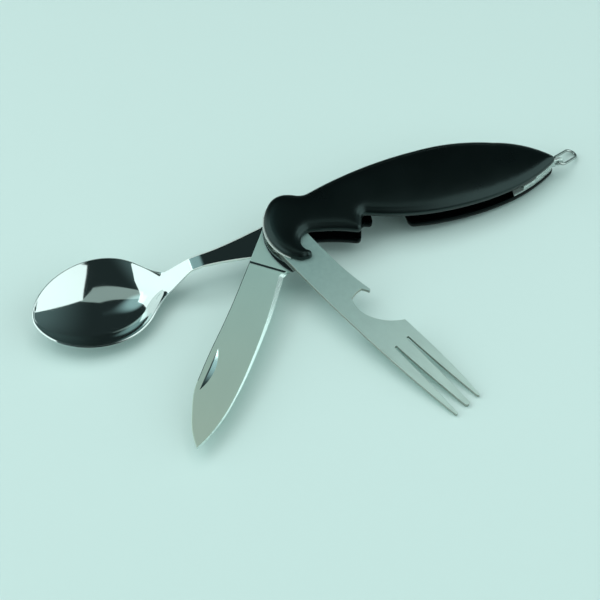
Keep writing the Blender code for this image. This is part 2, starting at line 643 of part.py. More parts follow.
def knife(surface, parent):
    """A blade with a straight tang, a bevelled edge, a kick before it and a nail nick."""
    joint = empty("knife_joint", (0, 0, KNIFE_Z), (0, 0, KNIFE_ANGLE), parent)
    spine_knots = [(0, -KNIFE_SPINE_REACH), (0.4 * KNIFE_LENGTH, -KNIFE_SPINE_REACH - 0.1 * MM),
                   (0.69 * KNIFE_LENGTH, -KNIFE_SPINE_REACH - KNIFE_HUMP),
                   (0.78 * KNIFE_LENGTH, -KNIFE_SPINE_REACH - 0.85 * KNIFE_HUMP),
                   (0.86 * KNIFE_LENGTH, -0.88 * KNIFE_SPINE_REACH), (0.94 * KNIFE_LENGTH, -0.5 * KNIFE_SPINE_REACH),
                   (KNIFE_LENGTH, -0.016 * KNIFE_SPINE_REACH)]
    edge_knots = [(KNIFE_KICK_AT, 0.83 * KNIFE_EDGE_REACH), (0.37 * KNIFE_LENGTH, KNIFE_EDGE_REACH),
                  (0.52 * KNIFE_LENGTH, KNIFE_EDGE_REACH), (KNIFE_BELLY_AT, 0.88 * KNIFE_EDGE_REACH),
                  (0.82 * KNIFE_LENGTH, 0.74 * KNIFE_EDGE_REACH), (0.93 * KNIFE_LENGTH, 0.4 * KNIFE_EDGE_REACH),
                  (KNIFE_LENGTH, 0.04 * KNIFE_EDGE_REACH)]
    plunge = KNIFE_KICK_AT + KNIFE_PLUNGE
    round_part = spread(-KNIFE_SPINE_REACH * 0.985, 0, 16)[:9] + [0.0]
    neck_part = [0.27 * KNIFE_KICK_AT, 0.62 * KNIFE_KICK_AT, KNIFE_KICK_AT - KNIFE_KICK_RAMP,
                 KNIFE_KICK_AT - KNIFE_KICK_RAMP / 2, KNIFE_KICK_AT]
    blade = [plunge - 0.56 * KNIFE_PLUNGE, plunge] + [plunge + (0.9 * KNIFE_LENGTH - plunge) * i / 16 for i in range(1, 17)]
    tip = [KNIFE_LENGTH - (0.1 * KNIFE_LENGTH) * (1 - i / 7) ** 1.6 for i in range(1, 8)]
    sections = []
    for u in sorted(set(round_part + neck_part + blade + tip)):
        if u <= 0:
            high = (max(KNIFE_SPINE_REACH ** 2 - u * u, 0)) ** 0.5
            low = -high
        elif u <= KNIFE_KICK_AT:
            low = smooth_level(spine_knots, u)
            high = KNIFE_SPINE_REACH * (1 - u / KNIFE_KICK_AT) + 0.8 * KNIFE_EDGE_REACH * u / KNIFE_KICK_AT
            high += (KNIFE_KICK_REACH - 0.8 * KNIFE_EDGE_REACH) * max(0, 1 - (KNIFE_KICK_AT - u) / KNIFE_KICK_RAMP)
        else:
            low = smooth_level(spine_knots, u)
            high = smooth_level(edge_knots, u)
            if u < plunge:
                high = max(high, 0.5 * (high + KNIFE_KICK_REACH))
        half = KNIFE_STOCK / 2
        ground = min(1.0, max(0.0, (u - KNIFE_KICK_AT) / (plunge - KNIFE_KICK_AT)))
        thin = half + (KNIFE_EDGE_THICKNESS / 2 - half) * ground
        bevel = min(0.2 * MM + (KNIFE_BEVEL - 0.2 * MM) * ground, 0.45 * (high - low))
        hollow = half - KNIFE_GRIND * ground
        sections.append([(u, low, half - hollow), (u, high - bevel, half - hollow), (u, high, half - thin),
                         (u, high, half + thin), (u, high - bevel, half + hollow), (u, low, half + hollow)])
    made = add_object("knife", loft(sections), surface, joint, sharp=20.0)
    nick_side = -KNIFE_SPINE_REACH + NICK_SET_BACK - 0.5 * KNIFE_HUMP
    start = (NICK_AT - NICK_LENGTH / 2, nick_side)
    end = (NICK_AT + NICK_LENGTH / 2, nick_side - 0.2 * MM)
    nick = arc(start, end, 0.15 * MM, 1.5 * MM) + arc(end, start, NICK_BULGE, 1.5 * MM)
    cut(made, "nail_nick", plate(nick, KNIFE_STOCK - KNIFE_GRIND - NICK_DEPTH, 2 * KNIFE_STOCK))
    add_hole(made, "knife_pivot_hole", PIVOT_RADIUS + RUN_GAP)
    return made


def spoon_side():
    """Knots of the spoon's side from the stem's end to the widest place of the bowl."""
    growth = ((0, 0), (0.2, 0.25), (0.4, 0.61), (0.66, 0.893), (1, 1))
    knots = [(SPOON_BEND_AT, SPOON_STEM_END), ((SPOON_BEND_AT + BOWL_AT) / 2, 0.47 * (SPOON_STEM_END + BOWL_NECK))]
    return knots + [(BOWL_AT + (BOWL_WIDEST_AT - BOWL_AT) * t, BOWL_NECK + (BOWL_HALF_WIDTH - BOWL_NECK) * w)
                    for t, w in growth]


def spoon_half_width(u, knots, slopes):
    """Half the spoon's width at a distance from the pivot."""
    if u < 0:
        return max(SPOON_TANG_RADIUS ** 2 - u * u, 0) ** 0.5
    if u < SPOON_BEND_AT:
        slimming = (1 - cos(pi * min(u / SPOON_BEND_AT * 1.06, 1))) / 2
        return SPOON_TANG_RADIUS + (SPOON_STEM_END - SPOON_TANG_RADIUS) * slimming ** 0.72
    if u < BOWL_WIDEST_AT:
        return smooth_level(knots, u, slopes)
    t = (u - BOWL_WIDEST_AT) / (SPOON_LENGTH - BOWL_WIDEST_AT)
    return BOWL_HALF_WIDTH * max(1 - t ** 1.9, 0) ** 0.56


def ramp_sum(t):
    """Distance covered at a pace that rises evenly from 0 to 1 while t goes from 0 to 1, and stays at 1."""
    t = max(t, 0.0)
    return t * t / 2 if t < 1 else t - 0.5


def spoon_line(u):
    """Height of the spoon's middle line or rim: level tang, bend down, then the rim of the bowl."""
    wide = 2 * SPOON_BEND_SOFT
    start = ramp_sum((u - SPOON_BEND_AT + SPOON_BEND_SOFT) / wide)
    end = ramp_sum((u - BOWL_AT + SPOON_BEND_SOFT) / wide)
    rise = BOWL_RISE * max(0, (u - BOWL_AT) / (SPOON_LENGTH - BOWL_AT)) ** 1.5
    return rise - BEND_SLOPE * wide * (start - end)


def spoon_depth(u):
    """Depth of the bowl below its rim on the middle line, which runs on from the bend in one sweep."""
    start = BOWL_AT - SPOON_BEND_SOFT
    if u <= start or u >= SPOON_LENGTH:
        return 0.0
    if u < DEEPEST_AT:
        span = DEEPEST_AT - start
        t = (u - start) / span
        low = spoon_line(DEEPEST_AT) - BOWL_DEPTH
        last = (spoon_line(DEEPEST_AT + 0.1 * MM) - spoon_line(DEEPEST_AT)) / (0.1 * MM)
        sweep = spoon_line(start) * (1 + 2 * t) * (1 - t) ** 2 - BEND_SLOPE * span * t * (1 - t) ** 2
        return spoon_line(u) - sweep - low * t * t * (3 - 2 * t) - last * span * t * t * (t - 1)
    t = (u - BOWL_START_AT) / (SPOON_LENGTH - BOWL_START_AT)
    return BOWL_DEPTH * (4 * t ** 1.1 * (1 - t ** 1.1)) ** 0.75


def spoon(surface, parent):
    """One sheet from tang to bowl tip: flat tang, bent stem, pressed bowl."""
    joint = empty("spoon_joint", (0, 0, SPOON_Z), (0, 0, SPOON_ANGLE), parent)
    stations = spread(-SPOON_TANG_RADIUS * 0.985, 0, 16)[:9]
    stations += [SPOON_BEND_AT * i / 8 for i in range(8)]
    stations += [SPOON_BEND_AT - SPOON_BEND_SOFT + i * MM for i in range(1, 16)]
    tail = max(stations)
    stations += [tail + (SPOON_LENGTH * 0.93 - tail) * i / 22 for i in range(1, 23)]
    last = max(stations)
    stations += [SPOON_LENGTH - (SPOON_LENGTH - last) * (1 - i / 8) ** 1.8 for i in range(1, 8)]
    stations = sorted(set(round(s, 6) for s in stations))
    across = [sin(pi / 2 * (2 * i / 20 - 1)) for i in range(21)]
    shape = bmesh.new()
    rows = []
    knots = spoon_side()
    slopes = even_slopes(knots)
    for u in stations:
        half = max(spoon_half_width(u, knots, slopes), 0.35 * MM)
        line = spoon_line(u)
        depth = spoon_depth(u)
        rows.append([shape.verts.new((u, half * t, line - depth * (1 - 0.85 * t ** 2 - 0.15 * t ** 4)))
                     for t in across])
    for low, high in zip(rows, rows[1:]):
        for i in range(len(across) - 1):
            shape.faces.new((low[i], high[i], high[i + 1], low[i + 1]))
    made = add_object("spoon", shape, surface, joint, closed=False)
    made.location.z = SPOON_STOCK
    solid = made.modifiers.new("sheet", "SOLIDIFY")
    solid.thickness = SPOON_STOCK
    solid.offset = -1
    solid.use_even_offset = True
    add_hole(made, "spoon_pivot_hole", PIVOT_RADIUS + RUN_GAP)
    return made


# Pins, washers, eye and ring

def washer(name, low, high, surface, parent):
    made = add_object(name, disc(WASHER_RADIUS, low, high), surface, parent)
    add_hole(made, name + "_hole", PIVOT_RADIUS + RUN_GAP)
    return made


def tail_eye(surface, parent):
    """An upright lug held in the tail block, with a hole for the ring past the tip."""
    middle = (LOWER_DEPTH + UPPER_RIM_Z) / 2
    radius = EYE_RADIUS
    low = middle - radius
    high = middle + radius
    centre = EYE_AT
    points = arc((EYE_ROOT_AT, low), (centre, low), 0)
    points += arc((centre, low), (centre, high), radius, 0.6 * MM)
    points += arc((centre, high), (EYE_ROOT_AT, high), 0)
    points.append(np.array((EYE_ROOT_AT, high)))
    shape = plate([tuple(p) for p in points], -EYE_STOCK / 2, EYE_STOCK / 2)
    bmesh.ops.rotate(shape, verts=shape.verts, cent=(0, 0, 0), matrix=Matrix.Rotation(pi / 2, 3, "X"))
    made = add_object("tail_eye", shape, surface, parent)
    made.location.y = EYE_SIDE
    hole = disc(EYE_HOLE, -MM * 3, MM * 3, segments=24)
    bmesh.ops.rotate(hole, verts=hole.verts, cent=(0, 0, 0), matrix=Matrix.Rotation(pi / 2, 3, "X"))
    bmesh.ops.translate(hole, verts=hole.verts, vec=(centre, 0, middle))
    cutter = cut(made, "eye_hole", hole)
    cutter.location.y = EYE_SIDE
    ease_edges(made, 0.2 * MM)
    return made


def tail_ring(surface, parent):
    """An oval wire ring through the eye, hung on the eye's hole."""
    middle = (LOWER_DEPTH + UPPER_RIM_Z) / 2
    joint = empty("ring_joint", (EYE_AT, EYE_SIDE, middle), (0, RING_DIP, RING_TURN), parent)
    joint.rotation_mode = "XYZ"
    half = RING_WIDTH / 2
    straight = RING_LENGTH - RING_WIDTH
    path = arc((half, -half), (half + straight, -half), 0, 2 * MM)
    path += arc((half + straight, -half), (half + straight, half), half, 0.55 * MM)
    path += arc((half + straight, half), (half, half), 0, 2 * MM)
    path += arc((half, half), (half, -half), half, 0.55 * MM)
    shape = bmesh.new()
    rings = []
    count = len(path)
    for i in range(count):
        way = path[(i + 1) % count] - path[i - 1]
        way = way / hypot(*way)
        out = np.array([way[1], -way[0]])
        section = []
        for k in range(10):
            turn = 2 * pi * k / 10
            spot = path[i] + out * RING_WIRE * cos(turn)
            section.append(shape.verts.new((spot[0], spot[1], RING_WIRE * sin(turn))))
        rings.append(section)
    for i in range(count):
        bridge(shape, rings[i], rings[(i + 1) % count])
    return add_object("tail_ring", shape, surface, joint)


def build():
    clear_scene()
    black = material("satin_black", (0.012, 0.012, 0.014), 0.32, 0.0)
    black_lower = material("satin_black_lower", (0.012, 0.012, 0.014), 0.32, 0.0)
    rest = empty("resting_pose", (0, 0, 0), (REST_ROLL, REST_PITCH, 0), None)
    cover("upper_cover", handle_outline(), UPPER_DEPTH, CROWN_RISE, black, rest, True)
    cover("lower_cover", handle_outline(True), LOWER_DEPTH, 0, black_lower, rest, False)
    fork(material("fork_steel", (0.62, 0.62, 0.61), 0.28, 1.0), rest)
    knife(material("knife_steel", (0.6, 0.6, 0.59), 0.24, 1.0), rest)
    spoon(material("spoon_steel", (0.68, 0.67, 0.65), 0.08, 1.0), rest)
    liner("upper_liner", UPPER_LINER_Z, material("upper_liner_steel", (0.6, 0.6, 0.6), 0.25, 1.0), rest)
    liner("lower_liner", LOWER_LINER_Z, material("lower_liner_steel", (0.6, 0.6, 0.6), 0.25, 1.0), rest)
    spring("fork_spring", FORK_Z, FORK_STOCK, FORK_BLOCK_AT,
           material("fork_spring_steel", (0.58, 0.58, 0.58), 0.3, 1.0), rest)
    spring("knife_spring", KNIFE_Z, KNIFE_STOCK, SPACER_AT,
           material("knife_spring_steel", (0.58, 0.58, 0.58), 0.3, 1.0), rest)
    spring("spoon_spring", SPOON_Z, SPOON_STOCK, SPOON_BLOCK_AT,
           material("spoon_spring_steel", (0.58, 0.58, 0.58), 0.3, 1.0), rest)
    pin_steel = (0.55, 0.55, 0.55)
    floor = COVER_SHEET + EDGE_GAP
    roof = TOP_Z - COVER_SHEET - EDGE_GAP
    add_object("pivot_pin", disc(PIVOT_RADIUS, floor, roof), material("pivot_pin_steel", pin_steel, 0.3, 1.0), rest)
    add_object("middle_pin", disc(PIN_RADIUS, floor, roof, MIDDLE_PIN, 20),
               material("middle_pin_steel", pin_steel, 0.3, 1.0), rest)
    add_object("tail_pin", disc(PIN_RADIUS, floor, roof, TAIL_PIN, 20),
               material("tail_pin_steel", pin_steel, 0.3, 1.0), rest)
    washer("lower_washer", floor, SPOON_Z - RUN_GAP, material("lower_washer_steel", pin_steel, 0.35, 1.0), rest)
    washer("upper_washer", FORK_Z + FORK_STOCK + RUN_GAP, roof,
           material("upper_washer_steel", pin_steel, 0.35, 1.0), rest)
    tail_eye(material("tail_eye_steel", (0.6, 0.6, 0.59), 0.25, 1.0), rest)
    tail_ring(material("tail_ring_steel", (0.6, 0.6, 0.59), 0.2, 1.0), rest)
    bpy.context.view_layer.update()


build()
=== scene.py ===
"""Folding camping cutlery tool, fanned open on a pale mint surface: fine shapes, materials, light, camera.

Fine shapes replace the faceted CAD nodes of the covers, fork, knife, spoon and ring, and two lips at the
head are added: a bare rim, and a dark liner lip that is painted shade by the knife's tang. All are built in
the handle's own frame, with the CAD's sizes: origin on the pivot axis at
the lower cover's outer face, +X to the tail, +Y to the closed back, +Z to the upper cover.
"""
from math import atan2, cos, hypot, pi, radians, sin, tan

import bpy
import bmesh
import numpy as np
from mathutils import Matrix, Vector
from mathutils.geometry import delaunay_2d_cdt


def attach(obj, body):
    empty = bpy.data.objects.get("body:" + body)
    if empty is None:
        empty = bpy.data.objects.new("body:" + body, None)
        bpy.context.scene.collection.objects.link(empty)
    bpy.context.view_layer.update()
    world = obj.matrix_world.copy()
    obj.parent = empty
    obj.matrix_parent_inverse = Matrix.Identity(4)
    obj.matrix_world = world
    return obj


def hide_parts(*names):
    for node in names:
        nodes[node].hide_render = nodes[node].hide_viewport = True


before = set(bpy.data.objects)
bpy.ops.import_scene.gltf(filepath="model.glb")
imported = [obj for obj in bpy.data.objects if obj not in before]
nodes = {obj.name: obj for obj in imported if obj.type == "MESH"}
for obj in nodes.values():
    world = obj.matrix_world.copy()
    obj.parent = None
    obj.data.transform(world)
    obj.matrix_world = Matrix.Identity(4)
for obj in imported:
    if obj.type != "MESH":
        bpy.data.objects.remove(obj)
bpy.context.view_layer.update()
scene = bpy.context.scene

MM = 0.001

# How the opened tool lies, and the angle of each tool from the handle
REST = Matrix.Rotation(radians(4.33), 4, "Y") @ Matrix.Rotation(radians(8.03), 4, "X")
FORK_ANGLE = radians(-63.5)
KNIFE_ANGLE = radians(-124.5)
SPOON_ANGLE = radians(-177.0)
FLOOR_Z = -7.85 * MM

# Stocks
COVER_SHEET = 0.9 * MM
SPOON_STOCK = 1.0 * MM
KNIFE_STOCK = 1.4 * MM
FORK_STOCK = 1.5 * MM

# Covers: depth of the wall, radius of the rolled edge, reach of the softer roll on top, rise of the crown
# and the power that keeps the crown full towards its edge
LOWER_DEPTH = 3.4 * MM
UPPER_DEPTH = 2.9 * MM
EDGE_ROUND = 1.9 * MM
UPPER_ROLL = 3.1 * MM
CROWN_RISE = 1.6 * MM
CROWN_FULLNESS = 0.9

# Undersides of the tools and of what lies between them, from the lower cover's outer face
SPOON_Z = 3.6 * MM
KNIFE_Z = 5.4 * MM
LINER_Z = 7.0 * MM
FORK_Z = 7.6 * MM
UPPER_RIM_Z = 9.3 * MM

PIVOT_HOLE = 2.8 * MM

# Corners of the head, and how far each cover's head bulges past them
HEAD_BACK = (1.4 * MM, 13.9 * MM)
HEAD_FRONT = (1.4 * MM, -13.9 * MM)
UPPER_BULGE = 7.6 * MM
LOWER_BULGE = 8.3 * MM

# The knife's kick, its plunge into the ground blade, and where the line of painted shade on its back ends
KICK_AT = 14.6 * MM
PLUNGE_AT = 16.2 * MM
BACK_SHADE_END = 66 * MM

# Fineness of outlines and faces. Lattice rows lie ROW_GAP times its pitch apart, and the lattice starts
# inside the last of the skin's lines. A point within CORNER_SLACK past a rounded corner's reach is dropped.
FINE = 0.7 * MM
LATTICE = 1.15 * MM
ROW_GAP = 0.866
SKIN_OFFSETS = [offset * MM for offset in (0.06, 0.16, 0.3, 0.5, 0.75, 1.0, 1.3, 1.6, 1.9, 2.3)]
LATTICE_CLEAR = 2.9 * MM
CORNER_SLACK = 0.2 * MM


# Curves and outlines in the plane

def turned(point, angle):
    """The point turned about the origin."""
    c = cos(angle)
    s = sin(angle)
    return np.array([point[0] * c - point[1] * s, point[0] * s + point[1] * c])


def arc(start, end, rise, step=FINE):
    """Points from start up to, but without, end, along an arc whose middle stands rise to the right."""
    start = np.array(start)
    end = np.array(end)
    chord = end - start
    length = hypot(*chord)
    if abs(rise) < 1e-9:
        count = max(1, round(length / step))
        return [start + chord * i / count for i in range(count)]
    right = np.array([chord[1], -chord[0]]) / length
    radius = (length * length / 4 + rise * rise) / (2 * rise)
    centre = (start + end) / 2 + right * (rise - radius)
    first = start - centre
    sweep = 2 * atan2(length / 2, radius - rise) if rise > 0 else -2 * atan2(length / 2, rise - radius)
    count = max(4, round(abs(sweep * radius) / step))
    return [centre + turned(first, sweep * i / count) for i in range(count)]


def walk(outline, at, reach, way):
    """The place a reach away from a corner along the outline, and the first point kept beyond it."""
    count = len(outline)
    here = outline[at]
    i = at
    while True:
        i = (i + way) % count
        leg = hypot(*(outline[i] - here))
        if leg > reach + CORNER_SLACK:
            return here + (outline[i] - here) * reach / leg, i
        reach = max(reach - leg, 0)
        here = outline[i]


def soften(points, corners, steps=12):
    """Rounds the named corners of a closed outline; corners holds (x, y, reach along the sides)."""
    outline = [np.array(p, dtype=float) for p in points]
    for x, y, reach in corners:
        count = len(outline)
        at = min(range(count), key=lambda i: hypot(outline[i][0] - x, outline[i][1] - y))
        corner = outline[at]
        before = walk(outline, at, reach, -1)
        after = walk(outline, at, reach, 1)
        kept = [outline[(after[1] + i) % count] for i in range((before[1] - after[1]) % count + 1)]
        bend = []
        for i in range(steps + 1):
            t = i / steps
            bend.append(before[0] * (1 - t) ** 2 + corner * 2 * t * (1 - t) + after[0] * t * t)
        outline = bend + kept
    return outline


def inset(outline, distance):
    """A closed counter-clockwise outline moved inwards."""
    points = np.array(outline)
    before = points - np.roll(points, 1, axis=0)
    after = np.roll(points, -1, axis=0) - points
    before /= np.linalg.norm(before, axis=1)[:, None]
    after /= np.linalg.norm(after, axis=1)[:, None]
    middle = before + after
    middle /= np.linalg.norm(middle, axis=1)[:, None]
    inward = np.stack([-middle[:, 1], middle[:, 0]], axis=1)
    lean = np.clip(before[:, 0] * middle[:, 0] + before[:, 1] * middle[:, 1], 0.5, 1)
    return points + inward * (distance / lean)[:, None]


def level_at(points, x):
    """The level at x along straight legs between points."""
    return float(np.interp(x, [p[0] for p in points], [p[1] for p in points]))


def millimetres(*pairs):
    """Points given in millimetres."""
    return [(x * MM, y * MM) for x, y in pairs]


def handle_outline(notched=False):
    """A cover's closed outline, counter-clockwise; the lower one has a notch in its front for the spoon."""
    tail, haunch, back, neck = millimetres((106.8, 1.3), (86.0, 14.3), (57.0, 18.8), (10.6, 10.9))
    step, ledge, front, flank = millimetres((27.6, -9.3), (29.9, -2.0), (65.0, -9.0), (88.0, -6.8))
    beak, throat = millimetres((5.4, -15.0), (9.3, -3.9))
    head_front, bulge = HEAD_FRONT, LOWER_BULGE
    if not notched:
        head_front, bulge = (head_front[0], head_front[1] + 0.4 * MM), UPPER_BULGE
        beak = (beak[0], beak[1] + 0.5 * MM)
    tip, lean = 1.6 * MM, radians(18)
    hook = (beak[0] + 2 * tip * sin(lean), beak[1] + 2 * tip * cos(lean))
    points = arc(back, neck, 0.040 * (back[0] - neck[0]))
    points += arc(neck, HEAD_BACK, 0.05 * HEAD_BACK[1])
    points += arc(HEAD_BACK, head_front, bulge)
    points += arc(head_front, beak, 0.1 * beak[0])
    points += arc(beak, hook, tip, 0.25 * MM)
    points += arc(hook, throat, 0.27 * (beak[1] - throat[1]), 0.5 * MM)
    points += arc(throat, step, -0.04 * (step[0] - throat[0]))
    points += arc(step, ledge, 0)
    leaf = arc(ledge, front, 0.05 * (front[0] - ledge[0]))
    corners = [(*neck, 3.0 * MM), (*HEAD_BACK, 3.2 * MM), (*step, 2.2 * MM), (*ledge, 2.0 * MM)]
    if notched:
        start, end, bottom = 34.0 * MM, 46.9 * MM, 5.6 * MM
        lobe = (start, level_at(leaf, start))
        jaw = (end, level_at(leaf, end))
        inner_start = (start + 0.7 * MM, bottom)
        inner_end = (end - 0.6 * MM, bottom)
        points += [p for p in leaf if p[0] < start - FINE / 3]
        points += arc(lobe, inner_start, 0) + arc(inner_start, inner_end, 0) + arc(inner_end, jaw, 0)
        points += [np.array(jaw)] + [p for p in leaf if p[0] > end + FINE / 3]
        corners += [(*lobe, 2.0 * MM), (*inner_start, 2.4 * MM), (*inner_end, 2.4 * MM), (*jaw, 2.2 * MM)]
    else:
        points += leaf
    points += arc(front, flank, 0.03 * (flank[0] - front[0]))
    points += arc(flank, tail, 0.05 * (tail[0] - flank[0]))
    points += arc(tail, haunch, 0.073 * hypot(tail[0] - haunch[0], haunch[1]))
    points += arc(haunch, back, 0.05 * (haunch[0] - back[0]))
    corners.append((*tail, 2.2 * MM))
    return soften(points, corners)


# Meshes

def piece(name, shape, body, surfaces, place, replaces=None, closed=True, sharp=40.0, cuts=()):
    """A smooth-shaded object from a bmesh, cut by other shapes, laid in its place and riding on a body."""
    mesh = bpy.data.meshes.new(name)
    if closed:
        bmesh.ops.recalc_face_normals(shape, faces=shape.faces)
    shape.to_mesh(mesh)
    shape.free()
    mesh.shade_smooth()
    mesh.set_sharp_from_angle(angle=radians(sharp))
    for surface in surfaces:
        mesh.materials.append(surface)
    made = bpy.data.objects.new(name, mesh)
    scene.collection.objects.link(made)
    for cut in cuts:
        apply_cut(made, cut)
    made.data.transform(REST @ place)
    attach(made, body)
    if replaces:
        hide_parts(replaces)
    return made


def bridge(shape, lower, upper):
    """Faces between two closed rings of equally many verts."""
    count = len(lower)
    for i in range(count):
        j = (i + 1) % count
        shape.faces.new((lower[i], lower[j], upper[j], upper[i]))


def apply_cut(target, cutter_shape):
    """Takes a shape away from an object for good."""
    mesh = bpy.data.meshes.new("cutter")
    bmesh.ops.recalc_face_normals(cutter_shape, faces=cutter_shape.faces)
    cutter_shape.to_mesh(mesh)
    cutter_shape.free()
    cutter = bpy.data.objects.new("cutter", mesh)
    scene.collection.objects.link(cutter)
    boolean = target.modifiers.new("cut", "BOOLEAN")
    boolean.object = cutter
    boolean.solver = "EXACT"
    bpy.context.view_layer.update()
    cut_mesh = bpy.data.meshes.new_from_object(target.evaluated_get(bpy.context.evaluated_depsgraph_get()))
    target.modifiers.remove(boolean)
    bpy.data.objects.remove(cutter)
    old = target.data
    target.data = cut_mesh
    cut_mesh.name = old.name
    bpy.data.meshes.remove(old)


def pivot_rod():
    """What is cut out of a tool round the pivot, longer than any stock is thick."""
    shape = bmesh.new()
    bmesh.ops.create_cone(shape, cap_ends=True, segments=64, radius1=PIVOT_HOLE, radius2=PIVOT_HOLE,
                          depth=4 * MM, matrix=Matrix.Translation((0, 0, MM)))
    return shape


def bevel(target, width, segments=3, angle=40):
    """Eases the edges that turn more than an angle."""
    made = target.modifiers.new("eased edges", "BEVEL")
    made.width = width
    made.segments = segments
    made.limit_method = "ANGLE"
    made.angle_limit = radians(angle)
    made.use_clamp_overlap = False
    made.harden_normals = True


def distances(border, spots):
    """How far each spot lies from a closed border."""
    ahead = np.roll(border, -1, axis=0)
    side = ahead - border
    squares = (side ** 2).sum(axis=1)
    out = np.empty(len(spots))
    for i, spot in enumerate(spots):
        along = np.clip(((spot - border) * side).sum(axis=1) / squares, 0, 1)
        out[i] = np.sqrt((((border + side * along[:, None]) - spot) ** 2).sum(axis=1).min())
    return out


def inside(border, spots):
    """Which spots lie within a closed border."""
    ahead = np.roll(border, -1, axis=0)
    out = np.zeros(len(spots), dtype=bool)
    for i, (x, y) in enumerate(spots):
        crossing = (border[:, 1] > y) != (ahead[:, 1] > y)
        rows = border[crossing]
        far = ahead[crossing]
        reach = rows[:, 0] + (y - rows[:, 1]) * (far[:, 0] - rows[:, 0]) / (far[:, 1] - rows[:, 1])
        out[i] = np.count_nonzero(x < reach) % 2 == 1
    return out


def swelling(places, faces, fixed):
    """Height from 0 to 1 of an evenly loaded sheet held where fixed, at each place of a triangle mesh."""
    count = len(places)
    stiff = np.zeros((count, count))
    load = np.zeros(count)
    for face in faces:
        a, b, c = (places[i] for i in face)
        area = abs((b[0] - a[0]) * (c[1] - a[1]) - (b[1] - a[1]) * (c[0] - a[0])) / 2
        for k in range(3):
            i, j, o = face[k], face[(k + 1) % 3], face[(k + 2) % 3]
            u = places[i] - places[o]
            v = places[j] - places[o]
            weight = (u @ v) / (2 * max(2 * area, 1e-16))
            stiff[i, i] += weight
            stiff[j, j] += weight
            stiff[i, j] -= weight
            stiff[j, i] -= weight
            load[i] += area / 3
    free = np.flatnonzero(~fixed)
    sag = np.zeros(count)
    sag[free] = np.linalg.solve(stiff[np.ix_(free, free)], load[free])
    return np.maximum(sag, 0) / sag.max()


def cover_shell(outline, depth, rise, upward, roll):
    """The outer skin of a pressed cover: wall, rolled edge and crowned face, open at its rim."""
    border = np.array(outline)
    spots = []
    for offset in SKIN_OFFSETS:
        line = inset(outline, offset)
        # A point nearer to the border than its offset has strayed towards another part of it
        line = line[inside(border, line)]
        spots.append(line[distances(border, line) > 0.985 * offset])
    low = border.min(axis=0)
    high = border.max(axis=0)
    rows = int((high[1] - low[1]) / (LATTICE * ROW_GAP)) + 1
    columns = int((high[0] - low[0]) / LATTICE) + 2
    lattice = np.array([(low[0] + (column + 0.5 * (row % 2)) * LATTICE,
                         low[1] + (row + 0.5) * LATTICE * ROW_GAP)
                        for row in range(rows) for column in range(columns)])
    lattice = lattice[inside(border, lattice)]
    spots.append(lattice[distances(border, lattice) > LATTICE_CLEAR])
    spots = np.concatenate(spots)
    edges = [(i, (i + 1) % len(border)) for i in range(len(border))]
    everything = [Vector(p) for p in border] + [Vector(p) for p in spots]
    places, _, faces, origins, _, _ = delaunay_2d_cdt(everything, edges, [], 1, 1e-8)
    places = np.array([(p.x, p.y) for p in places])
    gaps = distances(border, places)
    height = np.full(len(places), depth)
    fade = np.clip(1 - gaps / roll, 0, 1)
    height -= EDGE_ROUND * (1 - np.sqrt(1 - fade ** 2))
    if rise:
        height += rise * swelling(places, faces, gaps < EDGE_ROUND * 0.98) ** CROWN_FULLNESS
    shape = bmesh.new()
    verts = [shape.verts.new((x, y, z)) for (x, y), z in zip(places, height)]
    for face in faces:
        shape.faces.new([verts[i] for i in face])
    rim_of = {}
    for i, origin in enumerate(origins):
        for k in origin:
            if k < len(border):
                rim_of[k] = verts[i]
    top = [rim_of[i] for i in range(len(border))]
    for level in (0.55, 0):
        lower = [shape.verts.new((x, y, level * (depth - EDGE_ROUND))) for x, y in border]
        bridge(shape, lower, top)
        top = lower
    if not upward:
        bmesh.ops.scale(shape, vec=(1, 1, -1), verts=shape.verts)
    bmesh.ops.recalc_face_normals(shape, faces=shape.faces)
    return shape


def cover(name, notched, depth, rise, level, upward, roll, surface):
    """One pressed cover: the outer skin from its rim at a level, thickened inwards to the sheet."""
    shape = cover_shell(handle_outline(notched), depth, rise, upward, roll)
    made = piece(name + "_fine", shape, "handle", [surface], Matrix.Translation((0, 0, level)), name,
                 closed=False, sharp=60)
    level_faces = [p for p in made.data.polygons if abs(p.normal.z) > 0.9]
    top = max(level_faces, key=lambda p: p.center.z if upward else -p.center.z)
    sheet = made.modifiers.new("sheet", "SOLIDIFY")
    sheet.thickness = COVER_SHEET
    sheet.offset = -1 if top.normal.z * (1 if upward else -1) > 0 else 1


def plate(outline, thick):
    """A flat plate that stands on level zero."""
    shape = bmesh.new()
    face = shape.faces.new([shape.verts.new((x, y, 0)) for x, y in outline])
    grown = bmesh.ops.extrude_face_region(shape, geom=[face])
    lifted = [v for v in grown["geom"] if isinstance(v, bmesh.types.BMVert)]
    bmesh.ops.translate(shape, verts=lifted, vec=(0, 0, thick))
    return shape


def head_lips(bead_surface, shade_lip_surface):
    """What shows by the upper cover's head: its bare rim, and the upper liner's lip on the knife's side, dark
    and wide as painted shade.
    """
    low, high = -12.8 * MM, 11 * MM
    outer, inner = ([p for p in arc(HEAD_BACK, HEAD_FRONT, bulge) if low < p[1] < high]
                    for bulge in (8.2 * MM, 6.6 * MM))
    level = Matrix.Translation((0, 0, UPPER_RIM_Z))
    bead = piece("head_rim_fine", plate(outer + inner[::-1], 0.3 * MM), "handle", [bead_surface], level)
    bevel(bead, 0.08 * MM, 2)
    ends = millimetres((0.5, 13.0), (-6.9, -6.5), (-1.3, -17.0), (0.1, -16.8), (3.0, -12.6),
                       (-2.5, -6.0), (-3.0, 6.0))
    path = []
    for start, end, rise in zip(ends, ends[1:] + ends[:1], (3.2, 0.8, 0.3, 0, 0, 0, 0)):
        path += arc(start, end, rise * MM)
    level = Matrix.Translation((0, 0, LINER_Z))
    # The lip is dark and reaches past the liner's edge: painted shade for the crescent on the knife's tang.
    lip = piece("liner_shade_lip_fine", plate(path, 0.4 * MM), "handle", [shade_lip_surface], level)
    bevel(lip, 0.1 * MM, 2)


